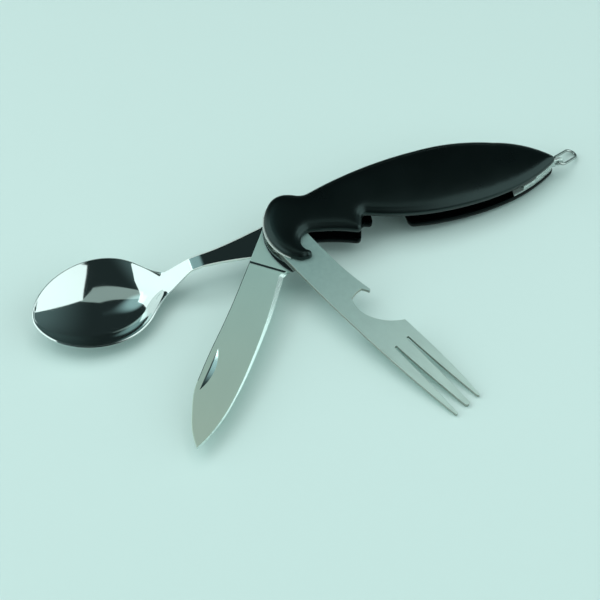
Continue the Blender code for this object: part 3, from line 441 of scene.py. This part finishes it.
def fork_outline():
    """The fork's closed outline, counter-clockwise: tang, edge, three tines, opener."""
    length, edge, tang = 96.0 * MM, 7.6 * MM, 6.6 * MM
    opener, span, lip_side = 39.2 * MM, 17.8 * MM, 6.6 * MM
    tine, point, round_tip, slot_at, half_slot = 6.0 * MM, 0.9 * MM, 0.45 * MM, 63.0 * MM, 0.45 * MM
    slim = 0.4 * MM
    long = 4 * MM
    tip = length - 0.5 * MM
    belly = (0.5 * length, -edge - 0.3 * MM)
    shoulder = (opener + span + 5 * MM, edge - slim)
    end = (opener + span, edge - slim)
    floor = lip_side - 8.3 * MM
    bight = (opener + 0.4 * span, floor)
    under = opener - 1.7 * MM
    pocket = (under + 0.6 * MM, floor + 0.8 * MM)
    claw = (under, lip_side - 2.2 * MM)
    nose = (opener + 0.9 * MM, lip_side - 0.8 * MM)
    back = (0.66 * opener, 0.72 * edge)
    points = arc((0, tang), (0, -tang), tang)
    points += arc((0, -tang), belly, 0.5 * MM, long)
    points += arc(belly, (tip, -tine), 0.5 * MM, long)
    for side in (-1, 1):
        root = side * 2.9 * MM
        outer = tine - point if side < 0 else tine - point - slim
        first = side * (outer if side < 0 else point)
        last = side * (point if side < 0 else outer)
        if side < 0:
            points += arc((tip, -tine), (tip, first), round_tip, 0.15 * MM)
        points += arc((tip, first), (slot_at, root - half_slot), 0.2 * MM, long)
        points += arc((slot_at, root - half_slot), (slot_at, root + half_slot), -half_slot, 0.12 * MM)
        points += arc((slot_at, root + half_slot), (tip, last), 0.2 * MM, long)
        following = point if side < 0 else tine - slim
        points += arc((tip, last), (tip, following), round_tip, 0.15 * MM)
    points += arc((tip, tine - slim), shoulder, 0.5 * MM, long)
    points += arc(shoulder, end, 0.1 * MM, 2 * MM)
    points += arc(end, bight, -1.3 * MM, 0.5 * MM)
    points += arc(bight, pocket, -0.8 * MM, 0.5 * MM)
    points += arc(pocket, claw, -0.4 * MM, 0.4 * MM)
    points += arc(claw, nose, -0.1 * MM, 0.5 * MM)
    points += arc(nose, (opener, lip_side), 0.35 * MM, 0.2 * MM)
    points += arc((opener, lip_side), back, -0.2 * MM, 2 * MM)
    points += arc(back, (0, tang), -0.3 * MM, long)
    return points


def smooth_level(knots, x, slopes=None):
    """The level at x on a smooth curve through knots, with given slopes or those of the knots around."""
    places = np.array([k[0] for k in knots])
    levels = np.array([k[1] for k in knots])
    slopes = np.gradient(levels, places) if slopes is None else slopes
    i = int(np.clip(np.searchsorted(places, x) - 1, 0, len(places) - 2))
    gap = places[i + 1] - places[i]
    t = (x - places[i]) / gap
    return float(levels[i] * (1 + 2 * t) * (1 - t) ** 2 + slopes[i] * gap * t * (1 - t) ** 2
                 + levels[i + 1] * t * t * (3 - 2 * t) + slopes[i + 1] * gap * t * t * (t - 1))


def fork(*surfaces):
    """The fork; its surfaces are satin faces and cut edges."""
    place = Matrix.Translation((0, 0, FORK_Z)) @ Matrix.Rotation(FORK_ANGLE, 4, "Z")
    shape = plate(fork_outline(), FORK_STOCK)
    shape.normal_update()
    for face in shape.faces:
        face.material_index = 1 if abs(face.normal.z) < 0.5 else 0
    bevel(piece("fork_fine", shape, "fork", surfaces, place, "fork", cuts=[pivot_rod()]), 0.15 * MM, 3, 50)


def knife_sections():
    """Closed eight-cornered sections along the blade, from the round tang through the kick to the tip."""
    length, spine, edge, hump, kick = 90.8 * MM, 7.4 * MM, 7.5 * MM, 1.2 * MM, 7.8 * MM
    spine_knots = [(0, -spine), (0.4 * length, -spine - 0.1 * MM), (0.69 * length, -spine - hump),
                   (0.78 * length, -spine - 0.85 * hump), (0.86 * length, -0.88 * spine),
                   (0.94 * length, -0.5 * spine), (length, -0.12 * MM)]
    edge_knots = [(KICK_AT, 0.83 * edge), (0.37 * length, edge), (0.52 * length, edge),
                  (66 * MM, 0.88 * edge), (0.82 * length, 0.74 * edge), (0.93 * length, 0.4 * edge),
                  (length, 0.3 * MM)]
    slope_widths = millimetres((15, 1.6), (42, 0.75), (66, 0.28), (91, 0.08))
    kick_rise = 1.2 * MM
    places = [-spine * 0.998 * cos(pi / 2 * i / 24) for i in range(25)]
    places += [KICK_AT * i / 10 for i in range(1, 10)]
    places += [KICK_AT - kick_rise * i / 4 for i in range(5)]
    places += [KICK_AT + 0.14 * MM * i for i in range(1, 12)]
    places += [PLUNGE_AT + (0.9 * length - PLUNGE_AT) * i / 60 for i in range(1, 61)]
    places += [length - 0.1 * length * (1 - i / 24) ** 1.6 for i in range(1, 25)]
    sections = []
    for u in sorted(set(round(p, 7) for p in places)):
        if u <= 0:
            high = max(spine ** 2 - u * u, 0) ** 0.5
            low = -high
        elif u <= KICK_AT:
            low = smooth_level(spine_knots, u)
            high = spine * (1 - u / KICK_AT) + 0.8 * edge * u / KICK_AT
            high += (kick - 0.8 * edge) * max(0, 1 - (KICK_AT - u) / kick_rise)
        else:
            low = smooth_level(spine_knots, u)
            high = smooth_level(edge_knots, u)
            if u < PLUNGE_AT:
                high = max(high, 0.5 * (high + kick))
        half = KNIFE_STOCK / 2
        ground = min(1.0, max(0.0, (u - KICK_AT) / (PLUNGE_AT - KICK_AT)))
        thin = (0.08 * MM - half) * ground
        slope = min(0.2 * MM + ground * level_at(slope_widths, u), 0.45 * (high - low))
        groove = max(0.0, 1 - abs(u - KICK_AT - 0.7 * MM) / (0.55 * MM))
        face = half - 0.15 * MM * ground - 0.26 * MM * groove
        ease = min(0.26 * MM, 0.2 * (high - low))
        lap = [(low + ease, -face), (high - slope, -face), (high, -half - thin), (high, half + thin),
               (high - slope, face), (low + ease, face), (low, face - 0.75 * ease), (low, 0.75 * ease - face)]
        sections.append([(u, y, half + z) for y, z in lap])
    return sections


def knife(*surfaces):
    """The blade; its surfaces are satin faces, a ground edge painted pale as highlight, painted shade lines
    at groove and back, polished nick.
    """
    place = Matrix.Translation((0, 0, KNIFE_Z)) @ Matrix.Rotation(KNIFE_ANGLE, 4, "Z")
    shape = bmesh.new()
    rings = [[shape.verts.new(p) for p in section] for section in knife_sections()]
    for lower, upper in zip(rings, rings[1:]):
        bridge(shape, lower, upper)
    shape.faces.new(rings[0])
    shape.faces.new(rings[-1])
    shape.faces.ensure_lookup_table()
    for i, face in enumerate(shape.faces):
        u = face.calc_center_median().x
        side = i % 8
        # The ground edge's bevels: a finer satin, with painted highlight in their pale colour.
        if side in (1, 2, 3) and u > PLUNGE_AT:
            face.material_index = 1
        # Back chamfer and spine wall take the dark steel: painted shade, the dark line along the back.
        if side in (5, 6) and KICK_AT < u < BACK_SHADE_END:
            face.material_index = 2
        # A strip across the top face at the groove by the kick takes it too: painted shade in the groove.
        if side == 4 and KICK_AT + 0.2 * MM < u < KICK_AT + 0.9 * MM:
            face.material_index = 2
    piece("knife_fine", shape, "knife", surfaces, place, "knife", sharp=10, cuts=[nail_nick(), pivot_rod()])


def nail_nick():
    """A wheel cut: a steep straight wall towards the spine and a hollow slope away from it."""
    middle, half_length, depth, wall, angle = 61.0 * MM, 8.9 * MM, 0.6 * MM, -6.45 * MM, radians(15)
    face = KNIFE_STOCK - 0.15 * MM
    steps = 40
    shape = bmesh.new()
    rings = []
    for i in range(steps + 1):
        t = 2 * i / steps - 1
        u = middle + half_length * t
        h = depth * (1.0 - t * t) - 0.02 * MM
        side = wall - 0.3 * MM * t
        section = [(u, side, face + MM), (u, side, face - h), (u, side + (h + MM) / tan(angle), face + MM)]
        rings.append([shape.verts.new(p) for p in section])
    for lower, upper in zip(rings, rings[1:]):
        bridge(shape, lower, upper)
    shape.faces.ensure_lookup_table()
    for i, face in enumerate(shape.faces):
        # The nick's steep wall takes the dark steel, painted shade; its slope is polished.
        face.material_index = 2 if i % 3 == 0 else 3
    shape.faces.new(rings[0])
    shape.faces.new(rings[-1])
    return shape


# Spoon

# Half widths, and the places along the spoon where they hold
TANG, STEM_END, NECK, BOWL_WIDE = 7.1 * MM, 2.7 * MM, 4.6 * MM, 18.2 * MM
BEND_AT, BOWL_AT, WIDEST_AT, SPOON_LENGTH = 35.2 * MM, 45.0 * MM, 70.0 * MM, 95.2 * MM

# Falls of the middle line, as slopes at places along it
MAIN_SLOPE = 0.853
BEND_SOFT = 1.5 * MM
BENDS = [(30.4 * MM, 0), (31.4 * MM, 0.125), (34.6 * MM, 0.125), (37.2 * MM, MAIN_SLOPE),
         (BOWL_AT - BEND_SOFT, MAIN_SLOPE), (BOWL_AT + BEND_SOFT, 0)]

# Bowl: rise of its rim, its depth, where its floor leaves the bend, and the curve that its depth follows:
# its start, length and shape, and where it is deepest
BOWL_RISE, BOWL_DEPTH = 1.2 * MM, 7.6 * MM
SWEEP_AT = 46.6 * MM
BASIN_AT = BOWL_AT - 2 * MM
BASIN_LENGTH = SPOON_LENGTH - BASIN_AT
BASIN_SKEW, BASIN_FULLNESS = 1.1, 0.75
DEEPEST_AT = BASIN_AT + 0.5 ** (1 / BASIN_SKEW) * BASIN_LENGTH

# Where the neck's section gives way to the bowl's and over what length, and where the stations close up
NECK_END, NECK_BLEND, TIP_AT = 55 * MM, 8 * MM, 88 * MM

# Thickness along the spoon, rounding of its rim, and the span whose rim is satin, painted pale as reflection
# of the table
SHEET_KNOTS = millimetres((28, 1.0), (30.5, 0.7), (36, 0.7), (50, 0.85))
RIM_ROUND = 0.4 * MM
SATIN_RIM = 6 * MM, 38 * MM

# Half widths of the neck and the bowl up to its widest place
SIDE_KNOTS = [(BEND_AT, STEM_END), (BEND_AT + 0.5 * (BOWL_AT - BEND_AT), 0.47 * (STEM_END + NECK))]
SIDE_KNOTS += [(BOWL_AT + (WIDEST_AT - BOWL_AT) * t, NECK + (BOWL_WIDE - NECK) * w)
               for t, w in ((0, 0), (0.2, 0.25), (0.4, 0.61), (0.66, 0.893), (1, 1))]


def even_slopes(knots):
    """Slopes at the knots of the smoothest curve through them that starts and ends level."""
    places = np.array([k[0] for k in knots])
    levels = np.array([k[1] for k in knots])
    gaps = np.diff(places)
    steps = np.diff(levels) / gaps ** 2
    matrix = np.eye(len(knots))
    load = np.zeros(len(knots))
    for i in range(1, len(knots) - 1):
        matrix[i, i - 1:i + 2] = 1 / gaps[i - 1], 2 / gaps[i - 1] + 2 / gaps[i], 1 / gaps[i]
        load[i] = 3 * (steps[i - 1] + steps[i])
    return np.linalg.solve(matrix, load)


SIDE_SLOPES = even_slopes(SIDE_KNOTS)


def spoon_half_width(u):
    """Round tang, slimming stem, spreading neck, and an oval end."""
    if u < 0:
        return max(TANG ** 2 - u * u, 0) ** 0.5
    if u < BEND_AT:
        slimming = (1 - cos(pi * min(u / BEND_AT * 1.06, 1))) / 2
        return TANG + (STEM_END - TANG) * slimming ** 0.72
    if u < WIDEST_AT:
        return smooth_level(SIDE_KNOTS, u, SIDE_SLOPES)
    t = (u - WIDEST_AT) / (SPOON_LENGTH - WIDEST_AT)
    return BOWL_WIDE * max(1 - t ** 1.9, 0) ** 0.56


def spoon_line(u):
    """Height of the rim's middle line: level tang, slight bend, main bend down, then the rim of the bowl."""
    drop = 0.0
    for (start, slope), (end, next_slope) in zip(BENDS, BENDS[1:]):
        if u > start:
            reach = min(u, end)
            here = slope + (next_slope - slope) * (reach - start) / (end - start)
            drop += (slope + here) / 2 * (reach - start)
    return BOWL_RISE * max(0, (u - BOWL_AT) / (SPOON_LENGTH - BOWL_AT)) ** 1.5 - drop


def spoon_depth(u):
    """Depth below the rim on the middle line, which runs on from the bend and then flattens out."""
    start = BOWL_AT - BEND_SOFT
    if u <= start:
        return 0.0
    if u < DEEPEST_AT:
        straight = min(u, SWEEP_AT) - start
        low = spoon_line(start) - MAIN_SLOPE * straight
        if u > SWEEP_AT:
            span = DEEPEST_AT - SWEEP_AT
            fall = low - (spoon_line(DEEPEST_AT) - BOWL_DEPTH)
            power = MAIN_SLOPE * span / fall
            low -= fall * (1 - (1 - (u - SWEEP_AT) / span) ** power)
        return spoon_line(u) - low
    t = ((u - BASIN_AT) / BASIN_LENGTH) ** BASIN_SKEW
    if t >= 1:
        return 0.0
    return BOWL_DEPTH * (4 * t * (1 - t)) ** BASIN_FULLNESS


def spoon_height(u, v):
    """Height of the upper face; the section is a soft trough at the neck and a fuller one in the bowl."""
    half = max(spoon_half_width(u), 0.05 * MM)
    t = min(abs(v) / half, 1)
    neck = min(max((NECK_END - u) / NECK_BLEND, 0), 1)
    across = (1 - neck) * (1 - 0.85 * t ** 2 - 0.15 * t ** 4) + neck * (1 - t ** 2) ** 2
    return spoon_line(u) - spoon_depth(u) * across


def spoon_normal(u, v):
    """The upper face's normal, from heights a small step away."""
    e = 0.05 * MM
    du = (spoon_height(u + e, v) - spoon_height(u - e, v)) / (2 * e)
    dv = (spoon_height(u, v + e) - spoon_height(u, v - e)) / (2 * e)
    return Vector((-du, -dv, 1)).normalized()


def spoon(*surfaces):
    """One sheet from tang to bowl tip, rounded at its rim; its surfaces are mirror, and satin stem rim
    painted pale as reflection of the table.
    """
    stations = [-TANG * cos(pi / 2 * i / 20) for i in range(1, 21)]
    stations += [BEND_AT * i / 40 for i in range(1, 37)]
    stations += [32 * MM + 0.3 * MM * i for i in range(1, 60)]
    first = stations[-1]
    stations += [first + (TIP_AT - first) * i / 70 for i in range(1, 71)]
    stations += [SPOON_LENGTH - (SPOON_LENGTH - TIP_AT) * (1 - i / 26) ** 2 for i in range(1, 26)]
    lap = [(-TANG, 0.0)] + [(u, -spoon_half_width(u)) for u in stations] + [(SPOON_LENGTH, 0.0)]
    lap += [(u, spoon_half_width(u)) for u in reversed(stations)]
    lap = inset(lap, RIM_ROUND)
    count = len(stations)
    across = 56
    shape = bmesh.new()

    def sheet(under):
        def vert(u, v):
            spot = Vector((u, v, spoon_height(u, v)))
            return shape.verts.new(spot - spoon_normal(u, v) * level_at(SHEET_KNOTS, u) if under else spot)

        rows = []
        for u, v in lap[1:count + 1]:
            rows.append([vert(u, -v * sin(pi / 2 * (2 * i / across - 1))) for i in range(across + 1)])
        start = vert(*lap[0])
        end = vert(*lap[count + 1])
        for low, high in zip(rows, rows[1:]):
            for i in range(across):
                shape.faces.new((low[i], high[i], high[i + 1], low[i + 1]))
        for i in range(across):
            shape.faces.new((start, rows[0][i], rows[0][i + 1]))
            shape.faces.new((end, rows[-1][i + 1], rows[-1][i]))
        return [start] + [row[0] for row in rows] + [end] + [row[-1] for row in reversed(rows)]

    upper = sheet(False)
    lower = sheet(True)
    total = len(upper)
    rings = [upper]
    turns, fullness = 9, 0.45
    for k in range(1, turns):
        angle = pi / 2 - pi * k / turns
        line = []
        for i in range(total):
            u, v = upper[i].co.xy
            normal = spoon_normal(u, v)
            way = (upper[(i + 1) % total].co - upper[i - 1].co).normalized()
            out = way.cross(normal).normalized()
            thick = level_at(SHEET_KNOTS, u)
            middle = upper[i].co - normal * thick / 2
            side = RIM_ROUND * cos(angle) ** fullness
            rise = thick / 2 * abs(sin(angle)) ** fullness * (1 if angle > 0 else -1)
            line.append(shape.verts.new(middle + out * side + normal * rise))
        rings.append(line)
    rings.append(lower)
    sheets = len(shape.faces)
    for one, other in zip(rings, rings[1:]):
        bridge(shape, one, other)
    shape.faces.ensure_lookup_table()
    # The stem's rim is satin; its pale mint colour is painted reflection of the table.
    for face in shape.faces[sheets:]:
        if SATIN_RIM[0] < face.calc_center_median().x < SATIN_RIM[1]:
            face.material_index = 1
    place = Matrix.Translation((0, 0, SPOON_Z + SPOON_STOCK)) @ Matrix.Rotation(SPOON_ANGLE, 4, "Z")
    piece("spoon_fine", shape, "spoon", surfaces, place, "spoon", sharp=70)


def ring(surface):
    """The oval wire ring, which hangs from its eye and leans on the table."""
    length, width, wire, around = 11.8 * MM, 4.5 * MM, 0.55 * MM, 16
    eye, turn, droop = (107.9 * MM, 2.1 * MM, 6.35 * MM), radians(31), radians(26.9)
    half = width / 2
    straight = length - width
    path = arc((half, -half), (half + straight, -half), 0, 0.6 * MM)
    path += arc((half + straight, -half), (half + straight, half), half, 0.25 * MM)
    path += arc((half + straight, half), (half, half), 0, 0.6 * MM)
    path += arc((half, half), (half, -half), half, 0.25 * MM)
    shape = bmesh.new()
    count = len(path)
    rings = []
    angles = [2 * pi * k / around for k in range(around)]
    for i in range(count):
        way = path[(i + 1) % count] - path[i - 1]
        out = np.array([way[1], -way[0]]) / hypot(*way)
        rings.append([shape.verts.new((*(path[i] + out * wire * cos(a)), wire * sin(a))) for a in angles])
    for i in range(count):
        bridge(shape, rings[i], rings[(i + 1) % count])
    place = Matrix.Translation(eye) @ Matrix.Rotation(turn, 4, "Z") @ Matrix.Rotation(droop, 4, "Y")
    piece("ring_fine", shape, "ring", [surface], place, "tail_ring", sharp=80)


# Materials

def node_adder(tree):
    """A short call that adds a node to a tree and sets its inputs and properties."""
    def add(kind, **values):
        node = tree.nodes.new(kind)
        for key, value in values.items():
            if key in node.inputs:
                node.inputs[key].default_value = value
            else:
                setattr(node, key, value)
        return node

    return add


def new_material(name):
    """A material with a Principled shader, and the call that adds nodes to it."""
    made = bpy.data.materials.new(name)
    made.use_nodes = True
    tree = made.node_tree
    return made, tree, tree.nodes["Principled BSDF"], node_adder(tree)


def place_coordinates(add, tree, scale, turn=0.0):
    """Object coordinates in a frame turned about Z, stretched along its axes."""
    coordinates = add("ShaderNodeTexCoord")
    mapping = add("ShaderNodeMapping", vector_type="TEXTURE")
    mapping.inputs["Rotation"].default_value = (0, 0, turn)
    mapping.inputs["Scale"].default_value = [1 / s for s in scale]
    tree.links.new(coordinates.outputs["Object"], mapping.inputs["Vector"])
    return mapping.outputs["Vector"]


def remap(add, tree, source, low, high, out_low, out_high, kind="LINEAR"):
    """A value carried from one range to another."""
    ramp = add("ShaderNodeMapRange", interpolation_type=kind)
    ramp.inputs["From Min"].default_value = low
    ramp.inputs["From Max"].default_value = high
    ramp.inputs["To Min"].default_value = out_low
    ramp.inputs["To Max"].default_value = out_high
    tree.links.new(source, ramp.inputs["Value"])
    return ramp.outputs["Result"]


def tint(add, tree, source, first, second):
    """A colour between two, as a value says."""
    mix = add("ShaderNodeMix", data_type="RGBA")
    mix.inputs[6].default_value = (*first, 1)
    mix.inputs[7].default_value = (*second, 1)
    tree.links.new(source, mix.inputs[0])
    return mix.outputs[2]


# Share of the scratch scale kept along the grinding lines, and where a tool's far colour starts and is full
LINE_STRETCH = 0.03
FAR_SPAN = 12 * MM, 85 * MM


def brushed_steel(name, colour, dark, roughness, turn=0.0, grain=0.05, scratch=900, relief=0.12,
                  metallic=1.0, far=None, cloud=55.0):
    """Satin steel with fine grinding lines along one way, faint clouding, and a colour far out if given."""
    made, tree, shader, add = new_material(name)
    shader.inputs["Metallic"].default_value = metallic
    lines = add("ShaderNodeTexNoise", Scale=1.0, Detail=4.0, Roughness=0.6)
    tree.links.new(place_coordinates(add, tree, (scratch * LINE_STRETCH, scratch, scratch), turn),
                   lines.inputs["Vector"])
    clouds = add("ShaderNodeTexNoise", Scale=cloud, Detail=3.0, Roughness=0.5)
    tree.links.new(place_coordinates(add, tree, (1, 1, 1)), clouds.inputs["Vector"])
    base = tint(add, tree, remap(add, tree, clouds.outputs["Fac"], 0.3, 0.7, 0, 1), colour, dark)
    if far:
        split = add("ShaderNodeSeparateXYZ")
        tree.links.new(place_coordinates(add, tree, (1, 1, 1), turn), split.inputs["Vector"])
        blend = add("ShaderNodeMix", data_type="RGBA")
        blend.inputs[7].default_value = (*far, 1)
        tree.links.new(remap(add, tree, split.outputs["X"], *FAR_SPAN, 0, 1), blend.inputs[0])
        tree.links.new(base, blend.inputs[6])
        base = blend.outputs[2]
    tree.links.new(base, shader.inputs["Base Color"])
    tree.links.new(remap(add, tree, lines.outputs["Fac"], 0.25, 0.75, roughness - grain, roughness + grain),
                   shader.inputs["Roughness"])
    bump = add("ShaderNodeBump", Strength=relief, Distance=0.01 * MM)
    tree.links.new(lines.outputs["Fac"], bump.inputs["Height"])
    tree.links.new(bump.outputs["Normal"], shader.inputs["Normal"])
    return made


def polished_steel(name, colour, roughness):
    """Mirror steel with faint polishing haze."""
    made, tree, shader, add = new_material(name)
    shader.inputs["Metallic"].default_value = 1.0
    haze = add("ShaderNodeTexNoise", Scale=90.0, Detail=5.0, Roughness=0.6)
    tree.links.new(place_coordinates(add, tree, (1, 1, 1)), haze.inputs["Vector"])
    darker = tuple(c * 0.93 for c in colour)
    tree.links.new(tint(add, tree, haze.outputs["Fac"], colour, darker), shader.inputs["Base Color"])
    tree.links.new(remap(add, tree, haze.outputs["Fac"], 0.3, 0.7, roughness * 0.7, roughness * 1.4),
                   shader.inputs["Roughness"])
    return made


def satin_black(name, shine):
    """Satin black lacquer on pressed steel: fine orange peel and a slightly worn sheen."""
    made, tree, shader, add = new_material(name)
    shader.inputs["Specular IOR Level"].default_value = shine
    shader.inputs["Specular Tint"].default_value = (0.72, 1.0, 0.98, 1)
    peel = add("ShaderNodeTexNoise", Scale=2600.0, Detail=2.0, Roughness=0.5)
    tree.links.new(place_coordinates(add, tree, (1, 1, 1)), peel.inputs["Vector"])
    wear = add("ShaderNodeTexNoise", Scale=70.0, Detail=4.0, Roughness=0.55)
    tree.links.new(place_coordinates(add, tree, (1, 1, 1)), wear.inputs["Vector"])
    tree.links.new(tint(add, tree, wear.outputs["Fac"], (0.0008, 0.0014, 0.0014), (0.0015, 0.0024, 0.0024)),
                   shader.inputs["Base Color"])
    tree.links.new(remap(add, tree, wear.outputs["Fac"], 0.3, 0.7, 0.27, 0.33), shader.inputs["Roughness"])
    bump = add("ShaderNodeBump", Strength=0.06, Distance=0.02 * MM)
    tree.links.new(peel.outputs["Fac"], bump.inputs["Height"])
    tree.links.new(bump.outputs["Normal"], shader.inputs["Normal"])
    return made


cover("upper_cover", False, UPPER_DEPTH, CROWN_RISE, UPPER_RIM_Z, True, UPPER_ROLL,
      satin_black("upper_cover_lacquer", 0.5))
# The lower cover has the upper cover's lacquer with its shine cut to 0.08: a shaded copy, painted shade under
# the handle.
cover("lower_cover", True, LOWER_DEPTH, 0, LOWER_DEPTH, False, EDGE_ROUND,
      satin_black("lower_cover_lacquer_shaded", 0.08))
# The fork's colour runs from dark by the head to light at the tines: painted shade where the handle shades
# it, painted light towards the tines.
fork(brushed_steel("fork_satin_painted_light", (0.285, 0.425, 0.40), (0.25, 0.38, 0.36), 0.44, FORK_ANGLE, 0.1, relief=0.5,
                   metallic=0.5, far=(0.58, 0.73, 0.67), cloud=600.0),
     brushed_steel("fork_edge_satin", (0.40, 0.42, 0.37), (0.34, 0.36, 0.32), 0.35, FORK_ANGLE, metallic=0.8))
knife(brushed_steel("knife_satin", (0.395, 0.56, 0.51), (0.365, 0.525, 0.48), 0.46, KNIFE_ANGLE, scratch=700,
                    metallic=0.5, far=(0.42, 0.51, 0.43)),
      # Pale colour of the ground edge: painted highlight on a finer satin.
      brushed_steel("knife_edge_satin_painted_highlight", (0.70, 0.84, 0.80), (0.64, 0.78, 0.74), 0.28, KNIFE_ANGLE,
                    metallic=0.6),
      # Dark steel for the groove, the back and the nick's wall: painted shade.
      brushed_steel("knife_painted_shade", (0.05, 0.07, 0.07), (0.04, 0.06, 0.06), 0.4, KNIFE_ANGLE),
      polished_steel("nick_polished", (0.85, 0.9, 0.88), 0.1))
spoon(polished_steel("spoon_mirror", (0.66, 0.70, 0.69), 0.065),
      # Pale mint satin for the stem's rim: painted reflection of the table.
      brushed_steel("spoon_edge_satin_painted_reflection", (0.80, 0.88, 0.82), (0.74, 0.82, 0.77), 0.3, metallic=0.45))
head_lips(brushed_steel("bare_rim", (0.85, 0.93, 0.88), (0.76, 0.84, 0.80), 0.3, metallic=0.5),
          # Dark mirror steel for the liner lip: painted shade.
          polished_steel("liner_lip_painted_shade", (0.30, 0.34, 0.34), 0.1))
ring(polished_steel("ring_bright", (0.48, 0.51, 0.49), 0.18))
for name in ("upper_liner", "lower_liner", "fork_spring", "knife_spring", "spoon_spring", "pivot_pin",
             "middle_pin", "tail_pin", "upper_washer", "lower_washer", "tail_eye"):
    data = nodes[name].data
    data.materials.clear()
    data.materials.append(brushed_steel(name + "_satin", (0.74, 0.82, 0.79), (0.66, 0.74, 0.71), 0.27,
                                        metallic=0.65))


# Floor, light and camera

def floor():
    """A wide matt mint table at the level the open tool rests on."""
    mesh = bpy.data.meshes.new("table")
    half = 0.9
    corners = [(x, y, FLOOR_Z) for x, y in ((-half, -half), (half, -half), (half, half), (-half, half))]
    mesh.from_pydata(corners, [], [(0, 1, 2, 3)])
    made = bpy.data.objects.new("table", mesh)
    scene.collection.objects.link(made)
    surface, _, shader, _ = new_material("table_mint")
    shader.inputs["Base Color"].default_value = (0.619, 0.757, 0.73, 1)
    shader.inputs["Roughness"].default_value = 0.75
    shader.inputs["Specular IOR Level"].default_value = 0.2
    mesh.materials.append(surface)


def panel(name, corner, along, down, glow, colour=(1, 1, 1)):
    """A rectangular light from a corner and its two edges, facing the object, of a given brightness."""
    corner, along, down = Vector(corner), Vector(along), Vector(down)
    data = bpy.data.lights.new(name, "AREA")
    data.shape = "RECTANGLE"
    data.size = along.length
    data.size_y = down.length
    data.energy = glow * pi * along.length * down.length
    data.color = colour
    made = bpy.data.objects.new(name, data)
    scene.collection.objects.link(made)
    x = along.normalized()
    z = x.cross(down).normalized()
    centre = corner + along / 2 + down / 2
    if z.dot(centre) < 0:
        z = -z
    y = z.cross(x)
    made.matrix_world = Matrix.Translation(centre) @ Matrix((x, y, z)).transposed().to_4x4()
    return made


# Colour and brightness of the two soft lights
MINT = (0.84, 1.0, 0.98)
SOFTBOX = 1.43

# Strength of the room from its middle to its side walls, and of the glow round one way: from, to, low, high
WALLS = 0.2, 1.0, 0.03, 0.18
GLOW_WAY = (-0.24, 0.42, 0.875)
GLOW = 0.94, 0.992, 0.0, 0.55
TEAL = (0.6, 1.0, 1.0)


def room():
    """A dark room, a little lighter towards the two soft lights and at the back to the left."""
    world = bpy.data.worlds.new("room")
    world.use_nodes = True
    tree = world.node_tree
    add = node_adder(tree)
    way = add("ShaderNodeTexCoord").outputs["Generated"]
    split = add("ShaderNodeSeparateXYZ")
    tree.links.new(way, split.inputs["Vector"])
    side = add("ShaderNodeMath", operation="ABSOLUTE")
    tree.links.new(split.outputs["X"], side.inputs[0])
    lean = add("ShaderNodeVectorMath", operation="DOT_PRODUCT")
    lean.inputs[1].default_value = GLOW_WAY
    tree.links.new(way, lean.inputs[0])
    total = add("ShaderNodeMath", operation="ADD")
    tree.links.new(remap(add, tree, side.outputs["Value"], *WALLS, "SMOOTHSTEP"), total.inputs[0])
    tree.links.new(remap(add, tree, lean.outputs["Value"], *GLOW, "SMOOTHSTEP"), total.inputs[1])
    back = tree.nodes["Background"]
    tree.links.new(total.outputs["Value"], back.inputs["Strength"])
    back.inputs["Color"].default_value = (*TEAL, 1)
    scene.world = world


floor()
panel("softbox_right", (0.30, -0.11, 1.0), (-0.14, -0.90, -0.38), (0.74, 0.31, -1.0), SOFTBOX, MINT)
panel("softbox_left", (-0.34, 0.52, 1.0), (-0.45, -1.05, 0), (-0.02, 0.0, -0.95), SOFTBOX, MINT)
panel("ceiling_strip", (-0.47, 0.42, 1.0), (0.80, -0.50, 0), (-0.21, -0.34, 0), 0.42, (0.75, 1.0, 0.93))
fill = panel("fill_above", (-0.7, 0.9, 1.2), (1.4, 0, 0), (0, -1.2, 0), 1.6)
fill.visible_glossy = False
room()
scene.view_settings.view_transform = "Standard"

# The view of the photo
camera = bpy.data.objects.new("camera", bpy.data.cameras.new("camera"))
scene.collection.objects.link(camera)
scene.camera = camera
camera.data.sensor_width = 36
camera.data.lens = 106.86
camera.matrix_world = Matrix(((0.955412, 0.285436, -0.075595, -0.04949),
                              (-0.273599, 0.759483, -0.590194, -0.40625),
                              (-0.111049, 0.584561, 0.803714, 0.51595),
                              (0, 0, 0, 1)))
